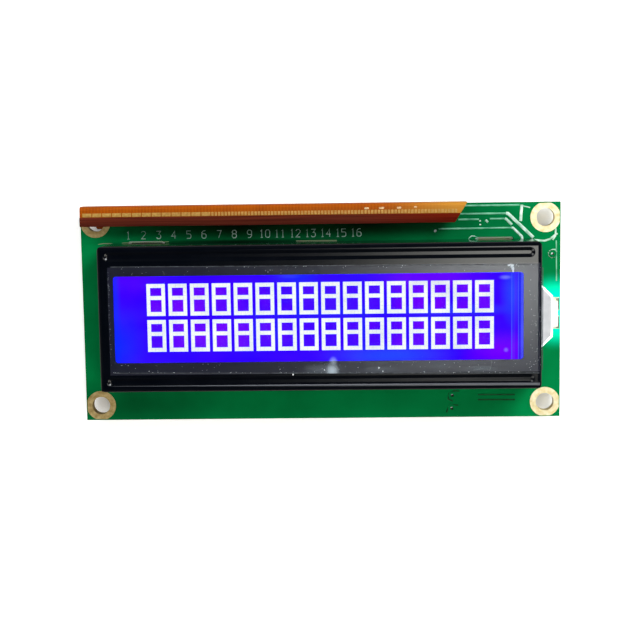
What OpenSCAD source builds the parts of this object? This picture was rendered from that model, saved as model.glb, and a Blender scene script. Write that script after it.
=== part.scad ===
// Character display module: a green board that carries a two-row liquid crystal cell under a
// black steel bezel, with an edge-lit backlight and an amber flex circuit on the header row.
// The module lies on its back. X runs along the long side, Y towards the header edge and
// Z out of the display. The origin is the centre of the mounting-hole pattern, on the
// board's rear face. All sizes are millimetres.

/* [Board] */
// Length of the board along X
board_w = 80; // [64:1:110]
// Depth of the board along Y
board_d = 36; // [30:1:50]
// Thickness of the board
board_t = 1.6; // [1.2:0.1:2.4]
// Distance from each mounting hole's centre to the two nearest edges
hole_inset = 2.5; // [2.5:0.1:3.5]
// Bore of the plated mounting holes
hole_d = 3; // [2:0.1:3.2]
// Width of the plated ring round each mounting hole
ring_w = 1; // [0.5:0.1:1.4]
// Thickness of every copper land on the board's faces
land_t = 0.05; // [0.03:0.01:0.1]
// Wall of the plating inside the holes
plating_t = 0.15; // [0.1:0.05:0.3]

/* [Header row] */
// Number of header holes
pin_count = 16; // [4:1:16]
// Pitch of the header holes
pin_pitch = 2.54; // [2:0.01:2.54]
// Distance from the left edge to the first header hole
pin_first = 8; // [7:0.5:12]
// Distance from the header edge to the row's centre line
pin_inset = 2.5; // [2.2:0.1:3.2]
// Bore of the plated header holes
pin_d = 1; // [0.8:0.05:1.2]
// Outer diameter of the header lands
pin_land_d = 1.4; // [1.4:0.1:2.2]

/* [Bezel] */
// Board length left free at each end of the bezel
bezel_margin_x = 3.95; // [3.95:0.05:8]
// Board depth left free on each long side of the bezel
bezel_margin_y = 6; // [6:0.25:8]
// Height of the bezel above the board's front face
bezel_h = 7.95; // [6:0.05:10]
// Thickness of the steel sheet
sheet_t = 0.5; // [0.3:0.05:0.6]
// Outer radius of the bezel's upright corners
corner_r = 0.9; // [0.7:0.1:2]
// Outer radius of the folds round the bezel's face
fold_r = 0.7; // [0.65:0.05:0.75]
// Width of the face left of and right of the window
band_x = 2.8; // [2.6:0.1:5]
// Width of the face above and below the window
band_y = 4.9; // [4.5:0.05:5.5]
// Distance of the window's centre from the bezel's centre, along the length
window_x = -0.2; // [-0.5:0.05:0.5]
// Corner radius of the window
window_r = 0.5; // [0.3:0.1:2]
// Width of the two pressed beads, from shoulder to shoulder
bead_w = 1.8; // [1.4:0.05:1.9]
// Width of the flat floor of each bead
bead_floor_w = 0.5; // [0.3:0.05:0.8]
// Depth of the beads below the face
bead_depth = 0.3; // [0.1:0.02:0.3]
// Distance from the bezel's long sides to each bead's centre line
bead_inset_y = 1.7; // [1.65:0.05:1.9]
// Distance from the bezel's ends to each bead's tip
bead_inset_x = 1.1; // [1:0.05:4]
// Width of the four fixing tabs
tab_w = 5; // [3:0.5:5]
// Distance from the bezel's ends to each tab's centre
tab_inset = 7; // [5:0.05:12]
// Length of tab folded flat behind the board
tab_reach = 2; // [1:0.1:3]
// Inside radius of the tabs' bends
tab_bend_r = 0.3; // [0.2:0.05:0.4]

/* [Display cell] */
// Thickness of each glass plate
glass_t = 1.1; // [0.55:0.05:1.1]
// Depth of each contact ledge on the front glass
ledge_d = 2.3; // [2:0.1:3]
// Thickness of each polariser
polariser_t = 0.3; // [0.2:0.05:0.4]
// How far the polarisers reach past the window on each side
polariser_lap = 0.8; // [0.4:0.1:0.9]
// Gap between the two glass plates
cell_gap = 0.1; // [0.08:0.01:0.2]
// Width of the glue line that seals the cell
seal_w = 1; // [0.6:0.1:1.5]
// Thickness of the two zebra strips
zebra_t = 1.8; // [1.4:0.1:1.9]
// Length of the dab that closes the filling port
port_w = 4; // [2:0.5:6]

/* [Backlight] */
// Wall of the backlight frame
frame_wall = 0.8; // [0.6:0.1:1]
// Floor of the backlight frame
frame_floor = 0.3; // [0.3:0.05:0.6]
// Thickness of the reflector film
reflector_t = 0.1; // [0.1:0.05:0.2]
// Thickness of the diffuser film
diffuser_t = 0.25; // [0.15:0.05:0.4]
// Free height between the diffuser and the rear polariser
diffuser_gap = 0.15; // [0.1:0.05:0.4]
// How far the light guide's tail reaches past the bezel
tail_reach = 2.5; // [2:0.05:2.65]
// Length of the tapered end of the tail
tail_taper = 2.25; // [1.5:0.05:2.4]
// Width of the tail where it leaves the frame
tail_root_w = 11.2; // [9:0.1:12]
// Width of the tail at its lit end
tail_end_w = 6.9; // [5:0.1:8]
// Place of the tail's centre line along Y
tail_y = -0.85; // [-1.5:0.05:0.5]
// Thickness of the tail
tail_t = 1.3; // [1:0.1:1.4]
// Thickness of the grey cover on the tail
cover_t = 0.15; // [0.1:0.05:0.3]
// Bright rim that the cover leaves free round the tail's end
cover_rim = 0.3; // [0.1:0.05:0.6]

/* [Backlight lamp] */
// Length of the lamp along the tail's end
led_w = 4.2; // [3:0.1:4.5]
// Depth of the lamp
led_d = 0.75; // [0.6:0.05:0.8]
// Height of the lamp
led_h = 1.5; // [1.2:0.05:1.8]
// Place of the lamp's centre along Y
led_y = -0.5; // [-1:0.05:0]
// Length of each of the lamp's two lands
led_land_w = 2.2; // [1.5:0.05:2.4]
// Gap between the two lands
led_land_gap = 0.9; // [0.6:0.05:1.2]
// Depth of the lit face set into the lamp
phosphor_d = 0.3; // [0.2:0.05:0.4]

/* [Protective film] */
// Thickness of the peel-off film
film_t = 0.08; // [0.06:0.01:0.15]
// Distance from the bezel's left end to the film
film_inset = 1.75; // [1:0.05:4]
// How far the film hangs over the bezel's right end
film_over = 0.1; // [0:0.05:1]
// Width of the film at its left end
film_left_d = 17.5; // [15:0.1:18]
// Width of the film at its right end
film_right_d = 17.8; // [15:0.1:18]
// How far the film's right end sits below its left end
film_drop = 0.5; // [0:0.05:0.6]
// Corner radius of the film
film_r = 0.5; // [0.2:0.1:2]

/* [Flex circuit] */
// Thickness of the flex
flex_t = 0.15; // [0.1:0.01:0.2]
// Gap between the lands and the flex behind the board
flex_gap = 0.05; // [0.05:0.01:0.1]
// How far the flex reaches below the header row behind the board
leg_reach = 1.15; // [1:0.05:1.3]
// Gap between the board's edge and the fold
fold_gap = 0.1; // [0.1:0.05:0.5]
// Inside radius of the rear fold
rear_fold_r = 0.25; // [0.2:0.05:0.3]
// Inside radius of the front fold
front_fold_r = 0.5; // [0.3:0.05:1.2]
// Height of the front flap's underside above the board
flap_gap = 1.85; // [1.5:0.05:2.5]
// Depth of the front flap below the header edge
flap_d = 3.05; // [2.8:0.05:3.3]
// Gap between the board's left edge and the flex
flex_side_gap = 0.3; // [0:0.05:1]
// Length of flap past the last header hole, at its free edge
flex_overrun = 16.3; // [4:0.1:17]
// Sideways run of the mitred ends for each unit of depth
mitre = 0.63; // [0:0.01:1]
// Depth of the stiffener on the flap
stiffener_d = 1.5; // [1:0.05:1.8]
// Thickness of the stiffener
stiffener_t = 0.3; // [0.2:0.05:0.5]
// Depth of the contact fingers
finger_d = 0.62; // [0.3:0.02:0.7]
// Pitch of the wide fingers at the left end
wide_pitch = 1.65; // [1:0.05:2.5]
// Number of wide fingers
wide_count = 13; // [1:1:14]
// Pitch of the narrow fingers
narrow_pitch = 0.55; // [0.4:0.05:1]
// Gap between neighbouring fingers
finger_gap = 0.16; // [0.1:0.02:0.2]

/* [Rear parts] */
// Radius of the two epoxy domes
blob_r = 7.2; // [5:0.1:8]
// Height of the domes
blob_h = 1.4; // [1.1:0.05:1.8]
// Height of the domes at their rim
blob_rim_h = 0.35; // [0.2:0.05:0.5]
// Distance from the board's centre to each dome
blob_x = 13; // [9:0.5:15]
// Side of the controller die
controller_die_w = 3.2; // [2:0.1:4]
// Side of the driver die
driver_die_w = 2.4; // [2:0.1:4]
// Thickness of the dies
die_t = 0.4; // [0.3:0.05:0.6]
// Length of the chip parts
chip_l = 2; // [1.6:0.05:2.1]
// Width of the chip parts
chip_w = 1.25; // [0.8:0.05:1.3]
// Height of the chip resistors
resistor_h = 0.5; // [0.4:0.05:0.6]
// Height of the chip capacitors
capacitor_h = 0.8; // [0.5:0.05:0.95]
// Length of each metal end cap
cap_l = 0.4; // [0.25:0.05:0.5]
// Pitch of the row of chip parts
chip_pitch = 4; // [3.6:0.1:5]
// Distance from the header row to the row of chip parts
chip_row_gap = 4.7; // [4.6:0.1:5.5]
// Radius of the solder domes on the header row
solder_r = 0.75; // [0.6:0.05:0.9]
// Height of the solder domes
solder_h = 0.5; // [0.3:0.05:0.6]

/* [Hidden] */
$fn = 48;

// Working clearances
cut = 1;            // overshoot of every cutting shape
plating_gap = 0.03; // between a drilled wall and its plating
glass_gap = 0.35;   // between the glass and the bezel's walls
slide_gap = 0.2;    // between parts that drop into one another
edge_keep = 0.15;   // bare board left along every edge
land_over = 0.5;    // how far a land shows past the part that sits on it
tab_slack = 0.3;    // room in the slots outside the bezel's walls
lamp_gap = 0.1;     // between the light guide's tail and the lamp
stem_recess = 0.2;  // depth at which the header solder ends below the board's front

// Places on the board; each via is given by its distance from the right edge, the long
// edge that it lies near (1 is the header edge), and its distance from that edge
hole_x = board_w / 2 - hole_inset;
hole_y = board_d / 2 - hole_inset;
pin_y = board_d / 2 - pin_inset;
pin_last_x = pin_x(pin_count - 1);
via_land_d = 1.3;
via_d = 0.5;
via_spots = [[1.3, 1, 8.6], [18, -1, 3.7], [18.1, -1, 1.5], [20.7, 1, 4.6]];

// Bezel
bezel_w = board_w - 2 * bezel_margin_x;
bezel_d = board_d - 2 * bezel_margin_y;
bezel_top = board_t + bezel_h;
cavity_w = bezel_w - 2 * sheet_t;
cavity_d = bezel_d - 2 * sheet_t;
window_w = bezel_w - 2 * band_x;
window_d = bezel_d - 2 * band_y;
lip_z = bezel_top - sheet_t;
bead_y = bezel_d / 2 - bead_inset_y;
bead_half = bezel_w / 2 - bead_inset_x - bead_w / 2;
bead_lift = 0.004; // carries the cutting shape's shoulders just past the face
bead_run = (bead_w - bead_floor_w) / 2;
bead_turn = 2 * atan((bead_depth + bead_lift) / bead_run);
bead_floor_r = 0.4 * bead_run / sin(bead_turn);
bead_shoulder_r = 0.6 * bead_run / sin(bead_turn);
tab_x = bezel_w / 2 - tab_inset;
tab_z = -land_t;
slot_in_y = cavity_d / 2 - tab_bend_r;
slot_out_y = bezel_d / 2 + tab_slack;
slot_d = slot_out_y - slot_in_y;
slot_w = tab_w + slot_d + 2 * slide_gap;

// Display cell, worked out from the bezel's lip downwards
front_w = cavity_w - 2 * glass_gap;
front_d = cavity_d - 2 * slide_gap;
rear_d = front_d - 2 * ledge_d;
polariser_w = window_w + 2 * polariser_lap;
polariser_d = window_d + 2 * polariser_lap;
front_glass_z = lip_z - polariser_t - glass_t;
cell_z = front_glass_z - cell_gap;
rear_glass_z = cell_z - glass_t;
rear_polariser_z = rear_glass_z - polariser_t;
zebra_y = rear_d / 2 + slide_gap + zebra_t / 2;

// Backlight, worked out from the board upwards
frame_w = front_w;
frame_d = rear_d;
pocket_w = frame_w - 2 * frame_wall;
pocket_d = frame_d - 2 * frame_wall;
guide_w = pocket_w - 2 * slide_gap;
guide_d = pocket_d - 2 * slide_gap;
reflector_z = board_t + frame_floor;
guide_z = reflector_z + reflector_t;
diffuser_z = rear_polariser_z - diffuser_gap - diffuser_t;
tail_x = bezel_w / 2 + tail_reach;
tail_top = guide_z + tail_t;

// Lamp
led_x = tail_x + lamp_gap;
led_z = board_t + land_t;
led_land_x = led_x + lamp_gap / 2;
led_land_d = board_w / 2 - edge_keep - led_land_x;
led_land_y = (led_land_gap + led_land_w) / 2;

// Flex circuit
web_y = board_d / 2 + fold_gap;
leg_z = -land_t - flex_gap - flex_t;
leg_y = pin_y - leg_reach;
leg_top_y = web_y - rear_fold_r;
flap_y = board_d / 2 - flap_d;
flap_z = board_t + flap_gap;
flex_top = flap_z + flex_t;
flex_x = -board_w / 2 + flex_side_gap;
finger_y = flap_y + stiffener_d + finger_gap / 2;
finger_t = 0.04;
finger_x = flex_x + 3 * finger_gap;
wide_end = finger_x + wide_count * wide_pitch;
narrow_count = floor((mitre_x(finger_y) - wide_end - finger_gap) / narrow_pitch);

// Rear parts: places along the row and along the free edge, and their turn
chip_row_y = pin_y - chip_row_gap;
resistor_spots = concat(
    [for (i = [-3:3]) [i * chip_pitch, chip_row_y, 90]],
    [[-blob_x * 1.95, 2, 0], [-blob_x * 1.95, -2, 0]]
);
capacitor_spots = [[0, 1.5, 90], [-blob_x * 1.95, -6, 0]];
blob_y = -1;

function pin_x(i) = -board_w / 2 + pin_first + i * pin_pitch;
function mitre_x(y) = pin_last_x + flex_overrun + (y - flap_y) * mitre;

// Shared shapes

module plate(w, d, t, z) {
    translate([-w / 2, -d / 2, z]) cube([w, d, t]);
}

module round_rect(w, d, r) {
    square([w - 2 * r, d], center = true);
    square([w, d - 2 * r], center = true);
    for (x = [-1, 1], y = [-1, 1])
        translate([x * (w / 2 - r), y * (d / 2 - r)]) circle(r);
}

// Side view of a tray that stands on v = 0, with its two top corners rounded
module tray_side(w, h, r) {
    translate([-w / 2, 0]) square([w, h - r]);
    translate([-w / 2 + r, 0]) square([w - 2 * r, h]);
    for (x = [-1, 1]) translate([x * (w / 2 - r), h - r]) circle(r);
}

// Turns a profile drawn as (Y, Z) into a bar of the given length along X
module along_x(length) {
    rotate([90, 0, 90]) linear_extrude(length) children();
}

// Closed tray shape with rounded upright corners and a rounded top rim
module rounded_tray(w, d, h, r_corner, r_fold) {
    intersection() {
        linear_extrude(h) round_rect(w, d, r_corner);
        translate([0, d / 2 + cut, 0]) rotate([90, 0, 0])
            linear_extrude(d + 2 * cut) tray_side(w, h, r_fold);
        translate([-w / 2 - cut, 0, 0]) along_x(w + 2 * cut) tray_side(d, h, r_fold);
    }
}

// Quarter ring between two quadrant directions, used for every bend of sheet or flex
module bend(r, t, up) {
    intersection() {
        difference() {
            circle(r + t);
            circle(r);
        }
        translate([0, up ? 0 : -(r + t)]) square(r + t);
    }
}

// Plated hole: a barrel through the board with a land on each face
module eyelet(bore, land) {
    r = bore / 2;
    rotate_extrude() polygon([
        [r, -land_t], [land / 2, -land_t], [land / 2, 0], [r + plating_t, 0],
        [r + plating_t, board_t], [land / 2, board_t], [land / 2, board_t + land_t],
        [r, board_t + land_t]
    ]);
}

module drilled(bore) {
    translate([0, 0, -cut])
        cylinder(d = bore + 2 * (plating_t + plating_gap), h = board_t + 2 * cut);
}

// Board

module at_mounting_holes() {
    for (x = [-1, 1], y = [-1, 1]) translate([x * hole_x, y * hole_y, 0]) children();
}

module at_pins() {
    for (i = [0:pin_count - 1]) translate([pin_x(i), pin_y, 0]) children();
}

module at_vias() {
    for (spot = via_spots)
        translate([board_w / 2 - spot[0], spot[1] * (board_d / 2 - spot[2]), 0]) children();
}

module at_tabs() {
    for (x = [-1, 1], side = [0, 1]) translate([x * tab_x, 0, 0]) mirror([0, side, 0]) children();
}

module tab_slot() {
    translate([0, (slot_in_y + slot_out_y) / 2, -cut]) linear_extrude(board_t + 2 * cut) {
        square([slot_w - slot_d, slot_d], center = true);
        for (x = [-1, 1]) translate([x * (slot_w - slot_d) / 2, 0]) circle(d = slot_d);
    }
}

module main_board() {
    color([0.0, 0.45, 0.22]) difference() {
        plate(board_w, board_d, board_t, 0);
        at_mounting_holes() drilled(hole_d);
        at_pins() drilled(pin_d);
        at_vias() drilled(via_d);
        at_tabs() tab_slot();
    }
}

module mounting_eyelets() {
    color([0.86, 0.76, 0.45]) intersection() {
        at_mounting_holes() eyelet(hole_d, hole_d + 2 * ring_w);
        plate(board_w - 2 * edge_keep, board_d - 2 * edge_keep, board_t + 2 * cut, -cut);
    }
}

module header_eyelets() {
    color([0.86, 0.76, 0.45]) at_pins() eyelet(pin_d, pin_land_d);
}

module via_eyelets() {
    color([0.1, 0.5, 0.28]) at_vias() eyelet(via_d, via_land_d);
}

module at_led_lands() {
    for (side = [-1, 1]) translate([led_land_x, led_y + side * led_land_y, board_t]) children();
}

module solder_lands() {
    color([0.8, 0.78, 0.7]) {
        at_led_lands() translate([0, -led_land_w / 2, 0]) cube([led_land_d, led_land_w, land_t]);
        at_tabs() translate([-tab_w / 2, slot_in_y - tab_reach - land_over, -land_t])
            cube([tab_w, tab_reach + land_over - edge_keep, land_t]);
        at_chips(concat(resistor_spots, capacitor_spots)) for (end = [0, 1])
            mirror([end, 0, 0]) translate([chip_l / 2 - cap_l, -chip_w / 2, -land_t])
                cube([cap_l + land_over, chip_w, land_t]);
    }
}

// Bezel: a drawn tray with a window, two pressed beads and four folded tabs

// Half section of a bead, cut from the face at height 0: a flat floor, then two arcs that
// meet tangentially and end level with the face
module bead_groove() {
    floor_x = bead_floor_w / 2;
    edge_x = bead_w / 2;
    join_x = floor_x + bead_floor_r * sin(bead_turn);
    join_z = bead_floor_r * (1 - cos(bead_turn)) - bead_depth;
    difference() {
        union() {
            polygon([
                [0, -bead_depth], [floor_x, -bead_depth], [join_x, join_z],
                [edge_x, bead_lift], [edge_x, cut], [0, cut]
            ]);
            intersection() {
                translate([floor_x, bead_floor_r - bead_depth]) circle(bead_floor_r);
                translate([floor_x, -bead_depth])
                    square([join_x - floor_x, join_z + bead_depth]);
            }
        }
        translate([edge_x, bead_lift - bead_shoulder_r]) circle(bead_shoulder_r);
    }
}

// Half section of the sheet pressed out under a bead, from the lip's underside; it goes no
// deeper than the front glass
module bead_boss() {
    foot = bead_floor_w / 2 + sheet_t / 2;
    reach = min(bead_depth, polariser_t);
    polygon([[0, -reach], [foot, -reach], [foot + bead_run, cut], [0, cut]]);
}

// Carries a half section along both beads and round their ends, from height z
module along_beads(z) {
    for (side = [-1, 1]) translate([0, side * bead_y, z]) {
        for (end = [-1, 1]) translate([end * bead_half, 0, 0]) rotate(-90 * end)
            rotate_extrude(angle = 180) children();
        for (face = [0, 1]) mirror([0, face, 0])
            translate([-bead_half, 0, 0]) along_x(2 * bead_half) children();
    }
}

module fixing_tab() {
    inner_y = cavity_d / 2;
    bend_y = inner_y - tab_bend_r;
    translate([-tab_w / 2, 0, 0]) along_x(tab_w) {
        translate([inner_y, tab_z + tab_bend_r]) square([sheet_t, board_t + cut]);
        translate([bend_y, tab_z + tab_bend_r]) bend(tab_bend_r, sheet_t, false);
        translate([bend_y - tab_reach, tab_z - sheet_t]) square([tab_reach, sheet_t]);
    }
}

module tail_opening() {
    translate([cavity_w / 2 - cut, tail_y - tail_root_w / 2 - slide_gap, board_t - cut])
        cube([sheet_t + 2 * cut, tail_root_w + 2 * slide_gap,
              tail_top + cover_t + slide_gap - board_t + cut]);
}

module bezel() {
    color([0.08, 0.08, 0.09]) difference() {
        union() {
            difference() {
                translate([0, 0, board_t])
                    rounded_tray(bezel_w, bezel_d, bezel_h, corner_r, fold_r);
                translate([0, 0, board_t - cut])
                    rounded_tray(cavity_w, cavity_d, bezel_h - sheet_t + cut,
                                 corner_r - sheet_t, fold_r - sheet_t);
            }
            intersection() {
                along_beads(lip_z) bead_boss();
                plate(cavity_w, cavity_d, sheet_t / 2 + bead_depth, lip_z - bead_depth);
            }
            at_tabs() fixing_tab();
        }
        along_beads(bezel_top) bead_groove();
        translate([0, 0, lip_z - cut]) linear_extrude(sheet_t + 2 * cut)
            translate([window_x, 0]) round_rect(window_w, window_d, window_r);
        tail_opening();
    }
}

module protective_film() {
    left = -bezel_w / 2 + film_inset + film_r;
    right = bezel_w / 2 + film_over - film_r;
    left_y = film_left_d / 2 - film_r;
    right_y = film_right_d / 2 - film_r;
    color([0.8, 0.85, 0.9, 0.4]) translate([0, 0, bezel_top]) linear_extrude(film_t)
        offset(r = film_r, $fn = 32)
            polygon([
                [left, -left_y], [right, -right_y - film_drop],
                [right, right_y - film_drop], [left, left_y]
            ]);
}

// Display cell

module front_polariser() {
    color([0.2, 0.25, 0.6, 0.6]) plate(polariser_w, polariser_d, polariser_t, lip_z - polariser_t);
}

module front_glass() {
    color([0.75, 0.85, 0.9, 0.5]) plate(front_w, front_d, glass_t, front_glass_z);
}

module cell_seal() {
    color([0.9, 0.9, 0.85]) difference() {
        plate(front_w, rear_d, cell_gap, cell_z);
        plate(front_w - 2 * seal_w, rear_d - 2 * seal_w, cell_gap + 2 * cut, cell_z - cut);
    }
}

module liquid_crystal() {
    color([0.25, 0.1, 1.0]) plate(front_w - 2 * seal_w, rear_d - 2 * seal_w, cell_gap, cell_z);
}

module end_seal() {
    color([0.7, 0.6, 0.35])
        translate([-front_w / 2 - glass_gap / 2, -port_w / 2, rear_glass_z + glass_t / 2])
            cube([glass_gap / 2, port_w, glass_t + cell_gap]);
}

module rear_glass() {
    color([0.75, 0.85, 0.9, 0.5]) plate(front_w, rear_d, glass_t, rear_glass_z);
}

module rear_polariser() {
    color([0.3, 0.35, 0.7, 0.6])
        plate(guide_w, guide_d, polariser_t, rear_polariser_z);
}

module zebra_strip(side) {
    translate([0, side * zebra_y, 0])
        plate(front_w, zebra_t, front_glass_z - board_t, board_t);
}

module upper_zebra_strip() {
    color([0.75, 0.4, 0.45]) zebra_strip(1);
}

module lower_zebra_strip() {
    color([0.75, 0.4, 0.45]) zebra_strip(-1);
}

// Backlight

// Outline of the tail from the frame's right wall to its lit end, drawn in by the given rim
module tail_outline(rim) {
    start = guide_w / 2 - cut;
    knee = tail_x - tail_taper;
    root = tail_root_w / 2 - rim;
    tip = tail_end_w / 2 - rim;
    translate([0, tail_y]) polygon([
        [start, -root], [knee, -root], [tail_x - rim, -tip],
        [tail_x - rim, tip], [knee, root], [start, root]
    ]);
}

module backlight_frame() {
    color([0.93, 0.93, 0.92]) {
        difference() {
            plate(frame_w, frame_d, rear_glass_z - board_t, board_t);
            plate(pocket_w, pocket_d, rear_glass_z, reflector_z);
            translate([pocket_w / 2 - cut, tail_y - tail_root_w / 2 - slide_gap / 2, reflector_z])
                cube([frame_wall + 2 * cut, tail_root_w + slide_gap,
                      tail_top + cover_t + slide_gap - reflector_z]);
        }
        translate([0, 0, board_t]) linear_extrude(frame_floor) tail_outline(0);
    }
}

module reflector_film() {
    color([0.97, 0.97, 0.97]) translate([0, 0, reflector_z]) linear_extrude(reflector_t) {
        square([guide_w, guide_d], center = true);
        tail_outline(0);
    }
}

module light_guide() {
    color([0.9, 0.97, 1.0, 0.7]) {
        plate(guide_w, guide_d, diffuser_z - guide_z, guide_z);
        translate([0, 0, guide_z]) linear_extrude(tail_t) tail_outline(0);
    }
}

module diffuser_film() {
    color([0.96, 0.96, 0.98]) plate(guide_w, guide_d, diffuser_t, diffuser_z);
}

module tail_cover() {
    color([0.82, 0.82, 0.83]) translate([0, 0, tail_top]) linear_extrude(cover_t)
        intersection() {
            tail_outline(cover_rim);
            translate([guide_w / 2 + slide_gap, -frame_d]) square(2 * frame_d);
        }
}

// Lamp

// Lit face of the lamp, with the housing left as a rim all round it
module phosphor_block(overshoot) {
    rim = led_h / 6;
    translate([led_x - overshoot, led_y - led_w / 2 + rim, led_z + rim])
        cube([phosphor_d + overshoot, led_w - 2 * rim, led_h - 2 * rim]);
}

module led_housing() {
    color([0.95, 0.95, 0.93]) difference() {
        translate([led_x, led_y - led_w / 2, led_z]) cube([led_d, led_w, led_h]);
        phosphor_block(cut);
    }
}

module led_phosphor() {
    color([0.98, 0.95, 0.6]) phosphor_block(0);
}

// Side view of a solder fillet: a hollow slope from its foot up to the face it wets
module fillet_profile(foot, rise) {
    polygon([[0, 0], [foot, 0], [foot * 0.4, rise * 0.35], [0, rise]]);
}

// Fillets that rise against the lamp's outer face, a little shorter than their lands
module led_solder() {
    length = led_land_w - 2 * edge_keep;
    color([0.85, 0.83, 0.76]) at_led_lands()
        translate([led_x + led_d - led_land_x, length / 2, land_t]) rotate([90, 0, 0])
            linear_extrude(length)
                fillet_profile(board_w / 2 - edge_keep - led_x - led_d, led_h * 0.6);
}

// Rear of the board

module at_chips(spots) {
    for (spot = spots) translate([spot[0], spot[1], 0]) rotate(spot[2]) children();
}

module die(side) {
    plate(side, side, die_t, -die_t);
}

// Glob of epoxy: a shallow dome with a blunt rim, cast over its die
module blob(die_side) {
    rise = blob_h - blob_rim_h;
    dome_r = (pow(blob_r, 2) + pow(rise, 2)) / (2 * rise);
    color([0.06, 0.06, 0.06]) difference() {
        rotate_extrude() intersection() {
            translate([0, dome_r - blob_h]) circle(dome_r, $fn = 720);
            translate([0, -blob_h - cut]) square([blob_r, blob_h + cut]);
        }
        die(die_side);
    }
}

module controller_die() {
    color([0.5, 0.5, 0.55]) translate([-blob_x, blob_y, 0]) die(controller_die_w);
}

module controller_blob() {
    translate([-blob_x, blob_y, 0]) blob(controller_die_w);
}

module driver_die() {
    color([0.5, 0.5, 0.55]) translate([blob_x, blob_y, 0]) die(driver_die_w);
}

module driver_blob() {
    translate([blob_x, blob_y, 0]) blob(driver_die_w);
}

module chip_body(h) {
    plate(chip_l - 2 * cap_l, chip_w, h, -land_t - h);
}

module chip_caps(h) {
    for (end = [0, 1]) mirror([end, 0, 0])
        translate([chip_l / 2 - cap_l, -chip_w / 2, -land_t - h]) cube([cap_l, chip_w, h]);
}

module chip_fillets(h) {
    for (end = [0, 1]) mirror([end, 0, 0])
        translate([chip_l / 2, chip_w / 2, -land_t]) rotate([90, 0, 0])
            linear_extrude(chip_w) fillet_profile(land_over * 0.8, -h * 0.7);
}

module chip_resistors() {
    color([0.1, 0.1, 0.11]) at_chips(resistor_spots) chip_body(resistor_h);
}

module chip_capacitors() {
    color([0.62, 0.5, 0.36]) at_chips(capacitor_spots) chip_body(capacitor_h);
}

module chip_terminals() {
    color([0.82, 0.82, 0.82]) {
        at_chips(resistor_spots) chip_caps(resistor_h);
        at_chips(capacitor_spots) chip_caps(capacitor_h);
    }
}

module chip_solder() {
    color([0.8, 0.8, 0.78]) {
        at_chips(resistor_spots) chip_fillets(resistor_h);
        at_chips(capacitor_spots) chip_fillets(capacitor_h);
    }
}

// Flex circuit: soldered behind the header row, folded over the board's edge

module flex_leg() {
    run = (leg_top_y - leg_y) * mitre;
    right = mitre_x(leg_top_y);
    translate([0, 0, leg_z]) linear_extrude(flex_t) polygon([
        [flex_x + run, leg_y], [right - run, leg_y], [right, leg_top_y], [flex_x, leg_top_y]
    ]);
}

module flex_hook_profile() {
    leg_face = leg_z + flex_t;
    translate([web_y - rear_fold_r, leg_face + rear_fold_r]) bend(rear_fold_r, flex_t, false);
    translate([web_y, leg_face + rear_fold_r])
        square([flex_t, flap_z - front_fold_r - leg_face - rear_fold_r]);
    translate([web_y - front_fold_r, flap_z - front_fold_r]) bend(front_fold_r, flex_t, true);
    translate([flap_y, flap_z]) square([web_y - front_fold_r - flap_y, flex_t]);
}

// Plan view of the flap between two depths, with its mitred right end
module flap_plan(y0, y1) {
    polygon([[flex_x, y0], [mitre_x(y0), y0], [mitre_x(y1), y1], [flex_x, y1]]);
}

module interface_flex() {
    color([0.85, 0.5, 0.12]) difference() {
        union() {
            flex_leg();
            intersection() {
                translate([flex_x, 0, 0]) along_x(board_w) flex_hook_profile();
                translate([0, 0, leg_z - cut]) linear_extrude(flex_top - leg_z + 2 * cut)
                    flap_plan(flap_y - cut, web_y + flex_t + cut);
            }
        }
        at_pins() translate([0, 0, leg_z - cut]) cylinder(d = pin_d, h = board_t - leg_z + cut);
    }
}

module flex_stiffener() {
    color([0.42, 0.2, 0.15]) translate([0, 0, flex_top]) linear_extrude(stiffener_t)
        flap_plan(flap_y, flap_y + stiffener_d);
}

module fingers(start, pitch, count) {
    for (i = [0:count - 1]) translate([start + i * pitch, finger_y, flex_top])
        cube([pitch - finger_gap, finger_d, finger_t]);
}

module flex_contacts() {
    color([0.9, 0.75, 0.4]) {
        fingers(finger_x, wide_pitch, wide_count);
        fingers(wide_end, narrow_pitch, narrow_count);
    }
}

// Solder that fills each header hole and domes over the flex
module header_solder() {
    dome_r = (pow(solder_r, 2) + pow(solder_h, 2)) / (2 * solder_h);
    color([0.83, 0.83, 0.82]) at_pins() {
        translate([0, 0, leg_z])
            cylinder(d = pin_d - 2 * plating_gap, h = board_t - stem_recess - leg_z);
        intersection() {
            translate([0, 0, leg_z - solder_h + dome_r]) sphere(dome_r);
            translate([0, 0, leg_z - solder_h]) cylinder(r = solder_r + cut, h = solder_h);
        }
    }
}

main_board();
mounting_eyelets();
header_eyelets();
via_eyelets();
solder_lands();
bezel();
protective_film();
front_polariser();
front_glass();
cell_seal();
liquid_crystal();
end_seal();
rear_glass();
rear_polariser();
upper_zebra_strip();
lower_zebra_strip();
backlight_frame();
reflector_film();
light_guide();
diffuser_film();
tail_cover();
led_housing();
led_phosphor();
led_solder();
controller_die();
controller_blob();
driver_die();
driver_blob();
chip_resistors();
chip_capacitors();
chip_terminals();
chip_solder();
interface_flex();
flex_stiffener();
flex_contacts();
header_solder();
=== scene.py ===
import itertools
import math
import random

import bpy
from bpy.props import FloatProperty, FloatVectorProperty, IntProperty, PointerProperty
from mathutils import Matrix, Vector


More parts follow.
